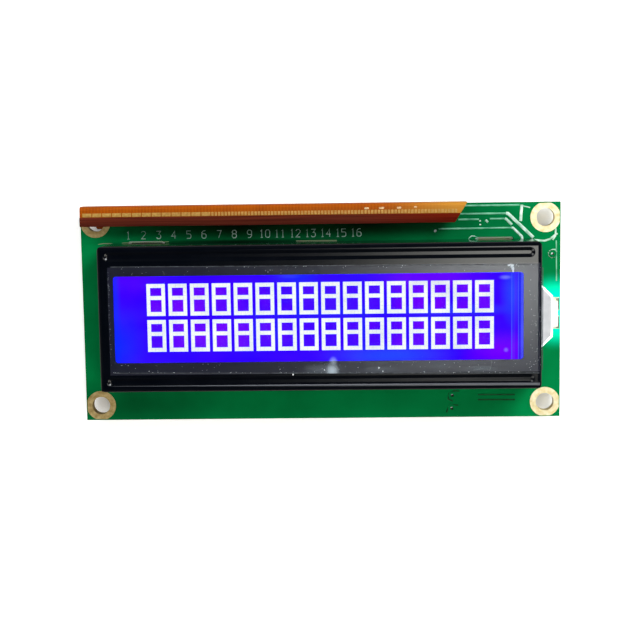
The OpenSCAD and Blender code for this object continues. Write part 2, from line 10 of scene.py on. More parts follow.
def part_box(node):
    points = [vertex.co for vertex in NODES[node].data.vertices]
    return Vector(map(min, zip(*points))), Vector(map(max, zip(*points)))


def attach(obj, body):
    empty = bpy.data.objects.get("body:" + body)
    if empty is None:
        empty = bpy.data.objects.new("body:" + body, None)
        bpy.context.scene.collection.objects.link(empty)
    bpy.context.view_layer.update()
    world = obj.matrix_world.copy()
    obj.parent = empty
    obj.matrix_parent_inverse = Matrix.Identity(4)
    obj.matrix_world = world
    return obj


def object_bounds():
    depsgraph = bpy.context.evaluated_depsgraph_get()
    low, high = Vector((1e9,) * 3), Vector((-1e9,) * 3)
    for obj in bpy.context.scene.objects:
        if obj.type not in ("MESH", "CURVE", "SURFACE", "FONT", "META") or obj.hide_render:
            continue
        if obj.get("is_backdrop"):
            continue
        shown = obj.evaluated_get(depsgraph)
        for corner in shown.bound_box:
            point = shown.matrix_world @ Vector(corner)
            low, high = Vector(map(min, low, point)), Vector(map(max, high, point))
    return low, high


bl_info = {
    "name": "Character Display Module",
    "version": (1, 0, 0),
    "blender": (4, 5, 0),
    "location": "View3D > Sidebar > Display Module",
    "description": "Finishes a two-row character display module and builds its printed, lit and worn details",
    "category": "Object",
}

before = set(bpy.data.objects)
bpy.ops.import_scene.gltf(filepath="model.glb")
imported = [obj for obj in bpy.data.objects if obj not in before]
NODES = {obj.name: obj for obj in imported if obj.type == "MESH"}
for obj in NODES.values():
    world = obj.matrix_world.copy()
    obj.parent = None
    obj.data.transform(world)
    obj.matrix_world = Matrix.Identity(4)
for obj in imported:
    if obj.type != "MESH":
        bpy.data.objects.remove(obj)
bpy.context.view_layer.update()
MM = 0.001
# Scale of a wave texture whose bands lie 1 mm apart
BAND = 1 / 3.14


# Colours, sizes and shader nodes


def linear(hex_text):
    """An sRGB hex colour as linear red, green, blue and alpha."""
    parts = [int(hex_text[i : i + 2], 16) / 255 for i in (1, 3, 5)]
    return tuple(c / 12.92 if c <= 0.04045 else ((c + 0.055) / 1.055) ** 2.4 for c in parts) + (1.0,)


def colour(name, hex_text, description):
    """A colour property that starts from an sRGB hex value."""
    return FloatVectorProperty(
        name=name, description=description, subtype="COLOR", size=4, min=0, max=1, default=linear(hex_text)
    )


def length(name, mm, description):
    """A length property that starts from a size in millimetres."""
    return FloatProperty(
        name=name, description=description, subtype="DISTANCE", unit="LENGTH", precision=5, default=mm * MM
    )


def amount(name, value, description):
    """A property for a strength, a power or a focal length."""
    return FloatProperty(name=name, description=description, default=value, min=0)


def add(tree, kind, inputs=(), stops=(), **settings):
    """Adds a shader node with its settings, and with its stops if it is a colour ramp.

    The inputs go by name or by place. One that is a node or a socket is linked, any other is set;
    hex text becomes a colour.
    """
    node = tree.nodes.new(kind)
    for key, value in settings.items():
        setattr(node, key, value)
    for key, value in inputs.items() if isinstance(inputs, dict) else enumerate(inputs):
        if isinstance(value, bpy.types.Node):
            value = next(out for out in value.outputs if out.enabled)
        if isinstance(value, bpy.types.NodeSocket):
            tree.links.new(value, node.inputs[key])
        else:
            node.inputs[key].default_value = linear(value) if isinstance(value, str) else value
    if stops:
        ramp = node.color_ramp.elements
        while len(ramp) < len(stops):
            ramp.new(0.5)
        for element, (place, value) in zip(ramp, stops):
            element.position = place
            element.color = linear(value) if isinstance(value, str) else value
    return node


def material(name):
    """A new material, its empty node tree, and its coordinates in millimetres of the module's frame."""
    mat = bpy.data.materials.new(name)
    mat.use_nodes = True
    tree = mat.node_tree
    tree.nodes.clear()
    place = add(tree, "ShaderNodeTexCoord").outputs["Object"]
    return mat, tree, add(tree, "ShaderNodeVectorMath", {0: place, "Scale": 1 / MM}, operation="SCALE")


def close(mat, shader, *nodes):
    """Sends a shader to the material's output and gives the material to CAD nodes.

    Plain values become those of a principled shader.
    """
    if isinstance(shader, dict):
        shader = add(mat.node_tree, "ShaderNodeBsdfPrincipled", shader)
    add(mat.node_tree, "ShaderNodeOutputMaterial", {"Surface": shader})
    for name in nodes:
        slots = NODES[name].data.materials
        slots.clear()
        slots.append(mat)


def mottle(tree, mm, size, dark, pale, detail=3, spread=(0.3, 0.7)):
    """Two colours in soft patches of a size in millimetres: gives the colour and the pattern."""
    pattern = add(tree, "ShaderNodeTexNoise", {"Vector": mm, "Scale": 1 / size, "Detail": detail})
    tones = add(tree, "ShaderNodeValToRGB", {"Fac": pattern}, [(spread[0], dark), (spread[1], pale)])
    return tones, pattern


def patch(tree, mm, x, y, wide, deep, strength):
    """The share of a soft oval patch, from its strength at the centre to none at its reach."""
    away = mm
    for step, value in (("MULTIPLY", (1, 1, 0)), ("SUBTRACT", (x, y, 0)), ("DIVIDE", (wide, deep, 1))):
        away = add(tree, "ShaderNodeVectorMath", (away, value), operation=step)
    away = add(tree, "ShaderNodeVectorMath", (away,), operation="LENGTH")
    fade = {"Value": away, "From Max": 1.0, "To Min": strength, "To Max": 0.0}
    return add(tree, "ShaderNodeMapRange", fade, interpolation_type="SMOOTHSTEP")


def glance(tree, share):
    """How much a clear sheet mirrors: next to nothing straight on, up to the share at a slant.

    It is the same on both of the sheet's faces, so light is never trapped between them.
    """
    slope = add(tree, "ShaderNodeLayerWeight", {"Blend": 0.5}).outputs["Facing"]
    steep = add(tree, "ShaderNodeMath", (slope, 5), operation="POWER")
    return add(tree, "ShaderNodeMath", (steep, share), operation="MULTIPLY")


def plain(
    name, size, dark, pale, rough, *nodes, detail=3, spread=(0.3, 0.7), metal=0.0, mirror=0.5, glow=0.0
):
    """A material in two mottled tones, for CAD nodes or a new piece; the glow is its own light."""
    mat, tree, mm = material(name)
    tone = mottle(tree, mm, size, dark, pale, detail, spread)[0]
    finish = {"Base Color": tone, "Roughness": rough, "Metallic": metal, "Specular IOR Level": mirror}
    if glow:
        finish |= {"Emission Color": tone, "Emission Strength": glow}
    close(mat, finish, *nodes)
    return mat


# Meshes

# Edges that turn more than this stay sharp
SHARP = math.radians(50)


class Mesh:
    """Collects the vertices and faces of one piece, in metres."""

    def __init__(self):
        self.verts = []
        self.faces = []

    def ring_stack(self, rings):
        """Joins rings of equal length, each a list of points, and closes both ends."""
        start = len(self.verts)
        count = len(rings[0])
        for ring in rings:
            self.verts.extend(ring)
        for level in range(len(rings) - 1):
            low = start + level * count
            for i in range(count):
                j = (i + 1) % count
                self.faces.append((low + i, low + j, low + count + j, low + count + i))
        self.faces.append(tuple(reversed(range(start, start + count))))
        top = start + (len(rings) - 1) * count
        self.faces.append(tuple(range(top, top + count)))

    def slab(self, outline, z0, z1, round_top):
        """A flat-bottomed pad with a rounded top edge over a convex outline."""
        middle = [sum(p[axis] for p in outline) / len(outline) for axis in (0, 1)]
        reach = max(math.dist(p, middle) for p in outline)
        share = 1 - min(0.5, round_top / reach)
        inner = [[m + (c - m) * share for c, m in zip(p, middle)] for p in outline]
        shoulder = z1 - min(round_top, (z1 - z0) * 0.6)
        levels = ((outline, z0), (outline, shoulder), (inner, z1))
        self.ring_stack([[(x, y, z) for x, y in ring] for ring, z in levels])

    def ribbon(self, path, width, z, height):
        """A raised line with sloped sides along a path of (x, y), with mitred corners."""
        # Across it: share of half the width, share of the height
        section = ((-1.0, 0.0), (-0.72, 0.75), (-0.4, 1.0), (0.4, 1.0), (0.72, 0.75), (1.0, 0.0))
        rings = []
        for i, point in enumerate(path):
            here = Vector(point)
            before = (here - Vector(path[i - 1])).normalized() if i else None
            after = (Vector(path[i + 1]) - here).normalized() if i < len(path) - 1 else None
            along = ((before or after) + (after or before)).normalized()
            side = Vector((-along.y, along.x))
            turn = side.dot(Vector((-(after or before).y, (after or before).x)))
            half = width / 2 / max(turn, 0.4)
            rings.append([(*(here + side * half * s), z + height * h) for s, h in section])
        self.ring_stack(rings)

    def lines(self, table, z, height):
        """Ribbons from a table of widths and paths in millimetres."""
        for wide, *path in table:
            self.ribbon([(x * MM, y * MM) for x, y in path], wide * MM, z, height)

    def build(self, name, mat):
        """Makes the object and puts it in the scene."""
        mesh = bpy.data.meshes.new(name)
        mesh.from_pydata(self.verts, [], self.faces)
        mesh.materials.append(mat)
        obj = bpy.data.objects.new(name, mesh)
        bpy.context.scene.collection.objects.link(obj)
        return obj

    def piece(self, name, mat, slot, smooth=True):
        """Makes the object and rides it on the module."""
        obj = self.build(name, mat)
        obj.data.validate()
        if smooth:
            obj.data.polygons.foreach_set("use_smooth", [True] * len(obj.data.polygons))
            obj.data.set_sharp_from_angle(angle=SHARP)
        obj.data.update()
        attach(obj, "root")


def circle(x, y, radius, count):
    """Outline of a circle about its centre."""
    turns = [k / count * math.tau for k in range(count)]
    return [(x + radius * math.cos(a), y + radius * math.sin(a)) for a in turns]


def rect(x, y, w, d, corner=0.0):
    """Outline of a rectangle about its centre, with rounded corners if they have a radius."""
    points = []
    for sx, sy, first in ((1, 1, 0), (-1, 1, 90), (-1, -1, 180), (1, -1, 270)):
        for turn in (0, 45, 90) if corner else (0,):
            a = math.radians(first + turn)
            dx = sx * (w / 2 - corner) + corner * math.cos(a)
            dy = sy * (d / 2 - corner) + corner * math.sin(a)
            points.append((x + dx, y + dy))
    return points


# Settings


class BoardSettings(bpy.types.PropertyGroup):
    """Green board, its tracks and its print"""

    mask: colour("Solder mask", "#007f43", "Green mask over bare laminate")
    mask_thick: colour("Thick mask", "#00713a", "Mask where it pooled and dried darker")
    laminate: colour("Laminate edge", "#6f8a5e", "Routed edge of the glass epoxy board")
    # Partly a painted sheen on the tracks
    track: colour("Tracks", "#86cba8", "Mask over a track, thin there and with a painted sheen")
    # Painted highlight on the shoulders of tracks
    painted_glint: colour("Track glints", "#e4f4ea", "Highlight painted pale on the shoulders of a track")
    ink: colour("Print", "#a6bab0", "Printed numbers")
    glow: colour("Lamp glow", "#00ffd0", "Light of the lamp spilled on the mask")
    track_h: length("Track height", 0.06, "How far the tracks stand up under the mask")
    digit_h: length("Number height", 1.25, "Height of the printed numbers")
    stroke_w: length("Stroke width", 0.14, "Width of the strokes of the printed numbers")


class BezelSettings(bpy.types.PropertyGroup):
    """Black steel bezel and its peel-off film"""

    enamel: colour("Enamel", "#020409", "Black stoved enamel")
    veil: colour("Veiled enamel", "#080a20", "Enamel seen through the clinging film")
    # Painted highlight beside the lower bead
    painted_glint: colour("Enamel glint", "#7d7f86", "Highlight painted as a paler line on the enamel")
    film_haze: colour("Film haze", "#b4c2d0", "Colour of the film's haze")
    # Also used for the painted crease highlights
    dust_and_glint: colour("Dust", "#e8eaec", "Dust, scratches and painted crease highlights in the film")


class DisplaySettings(bpy.types.PropertyGroup):
    """Lit display seen through the window"""

    field: colour("Field", "#2a00ff", "Blue field between the characters")
    field_violet: colour("Violet field", "#7000ff", "Where the field turns violet")
    field_light: colour("Light field", "#0426ff", "Where the field turns light blue")
    field_pale: colour("Pale field", "#2040ff", "Where the field turns pale blue")
    lit: colour("Lit dots", "#e2e5dc", "Dots that pass the light")
    unlit: colour("Dark dots", "#6400ff", "Dots inside a character that stay dark")
    dot_w: length("Dot width", 0.6, "Width of one dot")
    dot_d: length("Dot depth", 0.65, "Depth of one dot")
    pitch_x: length("Dot pitch across", 0.61, "Distance between dots along a row")
    pitch_y: length("Dot pitch down", 0.66, "Distance between rows of dots")
    cell_x: length("Character pitch", 3.577, "Distance between characters")
    cell_y: length("Line pitch", 5.94, "Distance between the two lines")
    characters: IntProperty(
        name="Characters", description="Characters in each line", default=16, min=1, max=20
    )
    glow: amount("Backlight", 1.4, "Strength of the backlight")


class FlexSettings(bpy.types.PropertyGroup):
    """Amber flex circuit along the header edge"""

    amber: colour("Amber film", "#a44d00", "Polyimide over bare film")
    amber_deep: colour("Deep amber", "#8c3d00", "Polyimide over copper")
    amber_pale: colour("Pale amber", "#c0852e", "Polyimide that shows golden")
    stiffener: colour("Stiffener", "#66291a", "Brown stiffener bar")
    stiffener_red: colour("Stiffener end", "#701c06", "Where the bar shows redder")
    gold: colour("Contacts", "#c9a152", "Gold-plated fingers")
    bar: colour("Print", "#e2c79c", "Plain printed bars")


class StageSettings(bpy.types.PropertyGroup):
    """Camera, lights and floor"""

    floor: colour("Floor", "#f2f2f2", "Pale floor")
    eye: FloatVectorProperty(
        name="Camera place",
        description="Where the camera stands",
        subtype="XYZ",
        unit="LENGTH",
        size=3,
        default=(7.41 * MM, 26.56 * MM, 234.34 * MM),
    )
    turn: FloatVectorProperty(
        name="Camera tilt",
        description="Turns of the camera about X, Y and Z from looking straight down",
        subtype="EULER",
        unit="ROTATION",
        size=3,
        default=(0.119, -0.0321, 0.0109),
    )
    lens: amount("Lens", 78.57, "Focal length on a 36 mm sensor, in mm")
    key: amount("Key light", 6.6, "Power of the long overhead light, in watts")
    right: amount("Right light", 4.3, "Power of the low light at the upper right, in watts")
    left: amount("Left light", 1.55, "Power of the low light at the upper left, in watts")
    lower: amount("Lower lights", 1.6, "Power of the two low lights at the lower corners, in watts")
    sky: amount("Room light", 0.06, "Strength of the room's own light")


class ModuleSettings(bpy.types.PropertyGroup):
    """All settings of the display module"""

    board: PointerProperty(type=BoardSettings)
    bezel: PointerProperty(type=BezelSettings)
    display: PointerProperty(type=DisplaySettings)
    flex: PointerProperty(type=FlexSettings)
    stage: PointerProperty(type=StageSettings)


# Board


# Painted shade on the mask, under the flex circuit, along the bezel's upper edge and on the
# board's lower left: centre, reach across and down in mm, strength
SHADE_POOLS = (
    (-33.0, -15.5, 22.0, 6.0, 0.5),
    (-14.0, 16.0, 26.0, 8.5, 1.0),
    (8.0, 16.0, 20.0, 8.5, 0.95),
    (24.0, 14.0, 12.0, 6.0, 0.25),
    (-36.0, 15.0, 4.0, 6.0, 0.4),
    (-14.0, 12.1, 30.0, 0.55, 0.9),
)


class MODULE_OT_board(bpy.types.Operator):
    """Finish the green board and its tented vias"""

    bl_idname = "module.board"
    bl_label = "Board"

    def execute(self, context):
        look = context.scene.module.board
        # Liquid photo-imaged solder mask, curtain coated over glass cloth laminate: deep even
        # green, silky, a shade darker in 7 mm patches where it pooled, the cloth just felt under it
        mat, tree, mm = material("solder_mask_curtain_coated")
        face, pooled = mottle(tree, mm, 7, look.mask_thick, look.mask)
        shine = add(tree, "ShaderNodeMapRange", {"Value": pooled, "To Min": 0.42, "To Max": 0.55})
        # Glass cloth: threads 0.45 mm apart, both ways
        weave = {"Vector": mm, "Scale": BAND / 0.45, "Distortion": 0.4}
        warp, weft = (
            add(tree, "ShaderNodeTexWave", weave, bands_direction=way).outputs["Fac"] for way in ("X", "Y")
        )
        cloth = add(tree, "ShaderNodeMath", (warp, weft), operation="ADD")
        normal = add(tree, "ShaderNodeBump", {"Height": cloth, "Strength": 0.05, "Distance": 0.02 * MM})
        # Painted shade darkens the mask in places, most of all under the flex circuit and in a thin
        # line along the bezel's upper edge
        for pool in SHADE_POOLS:
            stain = {"Factor": patch(tree, mm, *pool), "A": face, "B": (0.0, 0.002, 0.001, 1)}
            face = add(tree, "ShaderNodeMix", stain, data_type="RGBA")
        # The routed edge shows the bare laminate in layers 0.3 mm thick
        facing = add(tree, "ShaderNodeNewGeometry").outputs["Normal"]
        facing = add(tree, "ShaderNodeSeparateXYZ", {"Vector": facing}).outputs["Z"]
        flat = add(tree, "ShaderNodeMath", (facing,), operation="ABSOLUTE")
        flat = add(tree, "ShaderNodeMath", (flat, 0.5), operation="GREATER_THAN")
        edge = mottle(tree, mm, 0.3, "#3c4f2a", look.laminate)[0]
        base = add(tree, "ShaderNodeMix", {"Factor": flat, "A": edge, "B": face}, data_type="RGBA")
        # Light of the lamp on the mask round it, gone 7 mm away; none of it reaches the rear
        low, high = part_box("led_housing")
        source = (low + high) / 2 / MM + Vector((0.4, 0.3, 0))
        reach = add(tree, "ShaderNodeVectorMath", (mm, source), operation="DISTANCE")
        fade = {"Value": reach, "From Min": 2.0, "From Max": 7.2, "To Min": 1.1, "To Max": 0.0}
        glow = add(tree, "ShaderNodeMapRange", fade, interpolation_type="SMOOTHERSTEP")
        front = add(tree, "ShaderNodeMath", (facing, -0.5), operation="GREATER_THAN")
        glow = add(tree, "ShaderNodeMath", (glow, front), operation="MULTIPLY")
        finish = {
            "Base Color": base,
            "Roughness": shine,
            "Normal": normal,
            "Specular IOR Level": 0.015,
            "Emission Color": look.glow,
            "Emission Strength": glow,
        }
        close(mat, finish, "main_board", "via_eyelets")
        return {"FINISHED"}


class MODULE_OT_plating(bpy.types.Operator):
    """Finish the gold rings, the tinned lands and the solder"""

    bl_idname = "module.plating"
    bl_label = "Plating and solder"

    def execute(self, context):
        # Immersion gold on copper: thin soft yellow metal, satin from the copper's own grain
        # 0.12 mm across, with handling stains 0.8 mm across; browner towards the left end as painted
        # shade and paler towards the right end as a painted reflection of the key light
        mat, tree, mm = material("immersion_gold_plated")
        shaded_gold, stain = mottle(tree, mm, 0.8, "#a98b50", "#dcc48c", 4)
        lit_gold = mottle(tree, mm, 0.8, "#ead596", "#fff6d8", 4)[0]
        x = add(tree, "ShaderNodeSeparateXYZ", {"Vector": mm}).outputs["X"]
        share = add(tree, "ShaderNodeMapRange", {"Value": x, "From Min": -30.0, "From Max": 30.0})
        tone = add(tree, "ShaderNodeMix", {"Factor": share, "A": shaded_gold, "B": lit_gold}, data_type="RGBA")
        rough = add(tree, "ShaderNodeMapRange", {"Value": stain, "To Min": 0.5, "To Max": 0.34})
        pits = add(tree, "ShaderNodeTexNoise", {"Vector": mm, "Scale": 1 / 0.12, "Detail": 2})
        normal = add(tree, "ShaderNodeBump", {"Height": pits, "Strength": 0.25, "Distance": 0.01 * MM})
        finish = {"Base Color": tone, "Metallic": 0.6, "Roughness": rough, "Normal": normal}
        close(mat, finish, "mounting_eyelets")

        # The header's lands are painted a dark glassy brown: painted shade where they peek out in the
        # flex circuit's shadow
        plain("rosin_flux_dried", 0.5, "#0a1208", "#1b1f0e", 0.5, "header_eyelets")

        # Reflowed tin on copper lands and solder fillets: bright grey, frozen in wrinkles 0.5 mm
        # across
        mat, tree, mm = material("reflowed_tin_solder")
        tone, wrinkle = mottle(tree, mm, 0.5, "#a9a79c", "#dedccf", 5)
        normal = add(tree, "ShaderNodeBump", {"Height": wrinkle, "Strength": 0.4, "Distance": 0.04 * MM})
        finish = {"Base Color": tone, "Metallic": 1.0, "Roughness": 0.3, "Normal": normal}
        tinned = ("solder_lands", "led_solder", "chip_solder", "chip_terminals", "header_solder")
        close(mat, finish, *tinned)
        return {"FINISHED"}


# Tracks and lands that show under the mask: width in mm, then the path in mm. The first group
# is even, with a painted sheen; the second carries painted highlights along its shoulders; the
# third is painted shadow lines beside tracks and round vias; and the fourth is the bright
# edges of routed slots
TRACKS = (
    (
        (0.3, (24.0, 17.55), (33.2, 17.55)),
        (0.32, (23.4, 16.2), (31.0, 16.2)),
        (0.3, (23.1, 15.27), (26.5, 15.27)),
        (0.3, (28.3, 15.31), (30.8, 15.33)),
        (0.28, (19.7, 13.76), (31.9, 13.81)),
        (0.22, (39.3, 11.6), (39.35, 4.85)),
        (0.14, (24.75, 11.93), (25.02, 12.34), (25.52, 12.53), (26.01, 12.39), (26.33, 11.99)),
    ),
    (
        (0.55, (31.0, 16.2), (31.3, 16.17), (35.5, 12.15)),
        (0.45, (30.8, 15.33), (31.0, 15.27), (31.95, 14.3)),
        (0.4, (31.9, 13.81), (32.15, 13.78), (33.6, 12.35), (33.7, 11.85)),
        (0.5, (33.6, 17.6), (33.46, 16.2), (33.39, 14.9)),
        (0.2, (33.7, 17.4), (34.95, 17.1)),
        (0.3, (26.68, 15.14), (26.7, 14.9)),
        (0.3, (26.7, 14.5), (26.72, 14.3)),
        (0.4, (27.6, 15.15), (28.0, 14.75)),
        (0.22, (24.9, 12.2), (25.3, 12.5), (25.8, 12.48)),
        (0.35, (35.6, 11.74), (36.7, 11.6), (37.4, 11.57), (38.3, 11.87)),
        (0.3, (38.3, 11.87), (38.95, 12.45), (39.5, 12.75)),
        (0.3, (38.7, 11.7), (39.15, 12.4), (39.2, 13.6)),
        (0.25, (38.03, 9.68), (38.18, 9.05), (38.6, 8.78), (39.09, 8.92)),
        (0.25, (38.18, 9.81), (38.68, 10.07), (39.17, 10.1), (39.34, 9.66)),
    ),
    (
        (0.3, (26.3, -14.2), (32.5, -14.26)),
        (0.3, (26.3, -15.06), (32.5, -15.11)),
        (0.25, (23.2, -13.6), (22.3, -13.5), (21.4, -14.0), (21.3, -14.9), (22.1, -15.3)),
        (0.25, (23.0, -16.0), (22.2, -15.9), (21.3, -16.4), (21.0, -17.2)),
    ),
    (
        (0.16, (-37.16, 11.88), (-36.2, 12.03), (-35.13, 12.02), (-34.3, 11.88)),
        (0.14, (-33.11, 12.1), (-25.2, 12.2)),
        (0.14, (-3.93, 12.08), (2.9, 12.08)),
        (0.2, (26.35, 12.1), (31.97, 12.12)),
        (0.14, (30.68, -12.2), (32.52, -12.2)),
    ),
)


class MODULE_OT_tracks(bpy.types.Operator):
    """Raise the copper tracks that show through the mask"""

    bl_idname = "module.tracks"
    bl_label = "Tracks"

    def execute(self, context):
        look = context.scene.module.board
        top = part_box("main_board")[1].z
        # Material, piece, colours, roughness, share of the tracks' height
        finishes = (
            # Etched copper under thin mask: paler green than the board, partly as a painted sheen
            ("mask_over_etched_copper", "even_tracks", "#4f9a78", look.track, 0.35, 1.0),
            # The same with painted highlights: near white along the shoulders, where the tracks glint
            ("mask_rubbed_over_copper", "rubbed_tracks", "#86bb9f", look.painted_glint, 0.45, 1.0),
            # Painted shadow lines beside tracks and round vias: darker green
            ("mask_pooled_by_copper", "buried_tracks", "#003418", "#005428", 0.4, 0.8),
            # Routed slot edges where tinned land and bare laminate catch the light: grey beige
            ("laminate_slot_routed", "slot_edges", "#77745f", look.laminate, 0.6, 0.4),
        )
        for group, (finish, name, dark, pale, rough, tall) in zip(TRACKS, finishes):
            mesh = Mesh()
            mesh.lines(group, top - 0.01 * MM, look.track_h * tall)
            # Patches 1.2 mm across
            mat = plain(finish, 1.2, dark, pale, rough, detail=2, mirror=0.15)
            mesh.piece(name, mat, "masked_copper")
        return {"FINISHED"}


# Place of the first number and distance to the next, and the foot of the digits, in mm
FIRST_HOLE = -32.0
HOLE_PITCH = 2.54
PRINT_FOOT = 12.72
# Strokes of the plain digits on a grid 4 wide and 6 high, and the gap between two digits
DIGIT_GAP = 1.6
DIGITS = {
    "0": [[(1, 0), (3, 0), (4, 1), (4, 5), (3, 6), (1, 6), (0, 5), (0, 1), (1, 0)]],
    "1": [[(1, 5), (2, 6), (2, 0)], [(1, 0), (3, 0)]],
    "2": [[(0, 5), (1, 6), (3, 6), (4, 5), (4, 4), (0, 0), (4, 0)]],
    "3": [[(0, 6), (4, 6), (2, 3.6), (3, 3.6), (4, 2.6), (4, 1), (3, 0), (1, 0), (0, 1)]],
    "4": [[(3, 0), (3, 6), (0, 2), (4, 2)]],
    "5": [[(4, 6), (0, 6), (0, 3.6), (3, 3.6), (4, 2.6), (4, 1), (3, 0), (0, 0)]],
    "6": [[(3.5, 6), (1.5, 6), (0, 4.5), (0, 1), (1, 0), (3, 0), (4, 1), (4, 2.5), (3, 3.5), (0, 3.5)]],
    "7": [[(0, 6), (4, 6), (1.5, 0)]],
    "8": [
        [(1, 3.2), (0, 4), (0, 5), (1, 6), (3, 6), (4, 5), (4, 4), (3, 3.2), (1, 3.2)],
        [(1, 3.2), (0, 2.2), (0, 1), (1, 0), (3, 0), (4, 1), (4, 2.2), (3, 3.2)],
    ],
    "9": [[(0.5, 0), (2.5, 0), (4, 1.5), (4, 5), (3, 6), (1, 6), (0, 5), (0, 3.5), (1, 2.5), (4, 2.5)]],
}


class MODULE_OT_numbers(bpy.types.Operator):
    """Print the plain numbers of the header holes"""

    bl_idname = "module.numbers"
    bl_label = "Printed numbers"

    def execute(self, context):
        look = context.scene.module.board
        # Screen-printed epoxy ink: matt off-white, thin and broken where the mesh starved
        mat = plain("epoxy_ink_screen_printed", 0.25, "#6f9684", look.ink, 0.75, spread=(0.32, 0.6))
        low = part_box("main_board")[1].z - 0.005 * MM
        mesh = Mesh()
        # Digits are drawn narrow
        tall = look.digit_h / 6
        wide = tall * 0.85
        for index in range(16):
            text = str(index + 1)
            centre = (FIRST_HOLE + HOLE_PITCH * index) * MM
            x = centre - (len(text) * (4 + DIGIT_GAP) - DIGIT_GAP) * wide / 2
            for sign in text:
                for stroke in DIGITS[sign]:
                    path = [(x + px * wide, PRINT_FOOT * MM + py * tall) for px, py in stroke]
                    mesh.ribbon(path, look.stroke_w, low, 0.025 * MM)
                x += (4 + DIGIT_GAP) * wide
        # A round dot of the same ink, right of the numbers
        mesh.slab(circle(19.3 * MM, 13.4 * MM, 0.14 * MM, 10), low, low + 0.03 * MM, 0.01 * MM)
        mesh.piece("printed_numbers", mat, "screen_print")
        return {"FINISHED"}


# Bezel and film


class MODULE_OT_bezel(bpy.types.Operator):
    """Finish the black steel bezel"""

    bl_idname = "module.bezel"
    bl_label = "Bezel"

    def execute(self, context):
        look = context.scene.module.bezel
        # Stoved enamel sprayed on pressed steel: near-black with a clear soft gloss, a fine
        # orange peel about 0.6 mm across and a few duller wiped patches 5 mm across
        mat, tree, mm = material("stoved_enamel_sprayed")
        tone, wiped = mottle(tree, mm, 5, look.enamel, "#05070d")
        rough = add(tree, "ShaderNodeMapRange", {"Value": wiped, "To Min": 0.1, "To Max": 0.15})
        axes = add(tree, "ShaderNodeSeparateXYZ", {"Vector": mm}).outputs
        # The clinging film, 17.7 mm wide and centred 0.25 mm low, lays a softer gloss and a blue
        # veil over it
        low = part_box("protective_film")[0] / MM
        across = add(tree, "ShaderNodeMath", (axes["Y"], 0.25), operation="ADD")
        across = add(tree, "ShaderNodeMath", (across,), operation="ABSOLUTE")
        covered = add(tree, "ShaderNodeMath", (across, 8.85), operation="LESS_THAN")
        right = add(tree, "ShaderNodeMath", (axes["X"], low.x), operation="GREATER_THAN")
        raised = add(tree, "ShaderNodeMath", (axes["Z"], low.z - 0.1), operation="GREATER_THAN")
        for part in (right, raised):
            covered = add(tree, "ShaderNodeMath", (covered, part), operation="MULTIPLY")
        veil = add(tree, "ShaderNodeMath", (covered, 0.7), operation="MULTIPLY")
        # A painted highlight on the edge beside the lower bead: a paler line 0.25 mm wide, most at its
        # left
        ridge_glint = add(tree, "ShaderNodeMath", (axes["X"], 0.007, axes["Y"]), operation="MULTIPLY_ADD")
        ridge_glint = add(tree, "ShaderNodeMath", (ridge_glint, 10.9), operation="ADD")
        ridge_glint = add(tree, "ShaderNodeMath", (ridge_glint,), operation="ABSOLUTE")
        fade = {"Value": ridge_glint, "From Min": 0.06, "From Max": 0.3, "To Min": 1.0, "To Max": 0.0}
        ridge_glint = add(tree, "ShaderNodeMapRange", fade)
        fade = {"Value": axes["X"], "From Min": -34.5, "From Max": 16.0, "To Min": 1.0, "To Max": 0.5}
        along = add(tree, "ShaderNodeMapRange", fade)
        start = add(tree, "ShaderNodeMapRange", {"Value": axes["X"], "From Min": -34.4, "From Max": -33.8})
        for part in (along, raised, start):
            ridge_glint = add(tree, "ShaderNodeMath", (ridge_glint, part), operation="MULTIPLY")
        for share, over in ((ridge_glint, look.painted_glint), (veil, look.veil)):
            tone = add(tree, "ShaderNodeMix", {"Factor": share, "A": tone, "B": over}, data_type="RGBA")
        peel = add(tree, "ShaderNodeTexNoise", {"Vector": mm, "Scale": 1 / 0.6, "Detail": 1})
        normal = add(tree, "ShaderNodeBump", {"Height": peel, "Strength": 0.12, "Distance": 0.01 * MM})
        finish = {
            "Base Color": tone,
            "Roughness": rough,
            "Normal": normal,
            "Specular IOR Level": 0.4,
            "Coat Weight": covered,
            "Coat Roughness": 0.35,
        }
        close(mat, finish, "bezel")
        return {"FINISHED"}


# Creases in the film drawn white as painted highlights, where the lifted film mirrors the light:
# width in mm, then the path in mm
CREASE_GLINTS = (
    (0.34, (30.43, 8.22), (30.9, 8.3), (31.41, 8.24)),
    (0.42, (31.05, 8.15), (31.27, 7.75), (31.3, 7.5)),
    (0.26, (31.3, 7.5), (31.33, 7.12)),
)
# Fine scratches and hairs that only show grey
SCRATCHES = (
    (0.14, (-25.25, 7.96), (-25.12, 7.71), (-24.97, 7.32)),
    (0.12, (32.3, 8.35), (32.8, 8.3), (33.1, 7.9)),
    (0.1, (27.9, -7.27), (27.8, -8.14), (27.5, -8.9)),
    (0.1, (24.9, -8.75), (26.2, -8.6), (27.4, -8.65)),
    (0.1, (-26.83, -7.49), (-26.5, -7.62)),
    (0.1, (20.9, -8.35), (21.15, -8.15)),
)

# Milky white patches in the film: centre, reach across and down in mm, strength
MILKY_PATCHES = (
    (2.0, -8.6, 1.5, 1.6, 0.68),
    (2.2, -7.4, 0.9, 1.3, 0.35),
    (0.6, -8.4, 4.5, 1.2, 0.12),
    (26.4, -8.5, 3.4, 0.7, 0.12),
    (19.5, -8.0, 3.0, 0.8, 0.06),
    (10.0, -8.5, 4.5, 0.7, 0.09),
    (30.1, 6.3, 1.3, 0.5, 0.12),
    (30.2, -5.5, 0.5, 0.5, 0.1),
    (31.2, 7.9, 0.8, 0.9, 0.3),
    (-4.7, 6.9, 2.6, 0.7, 0.02),
)


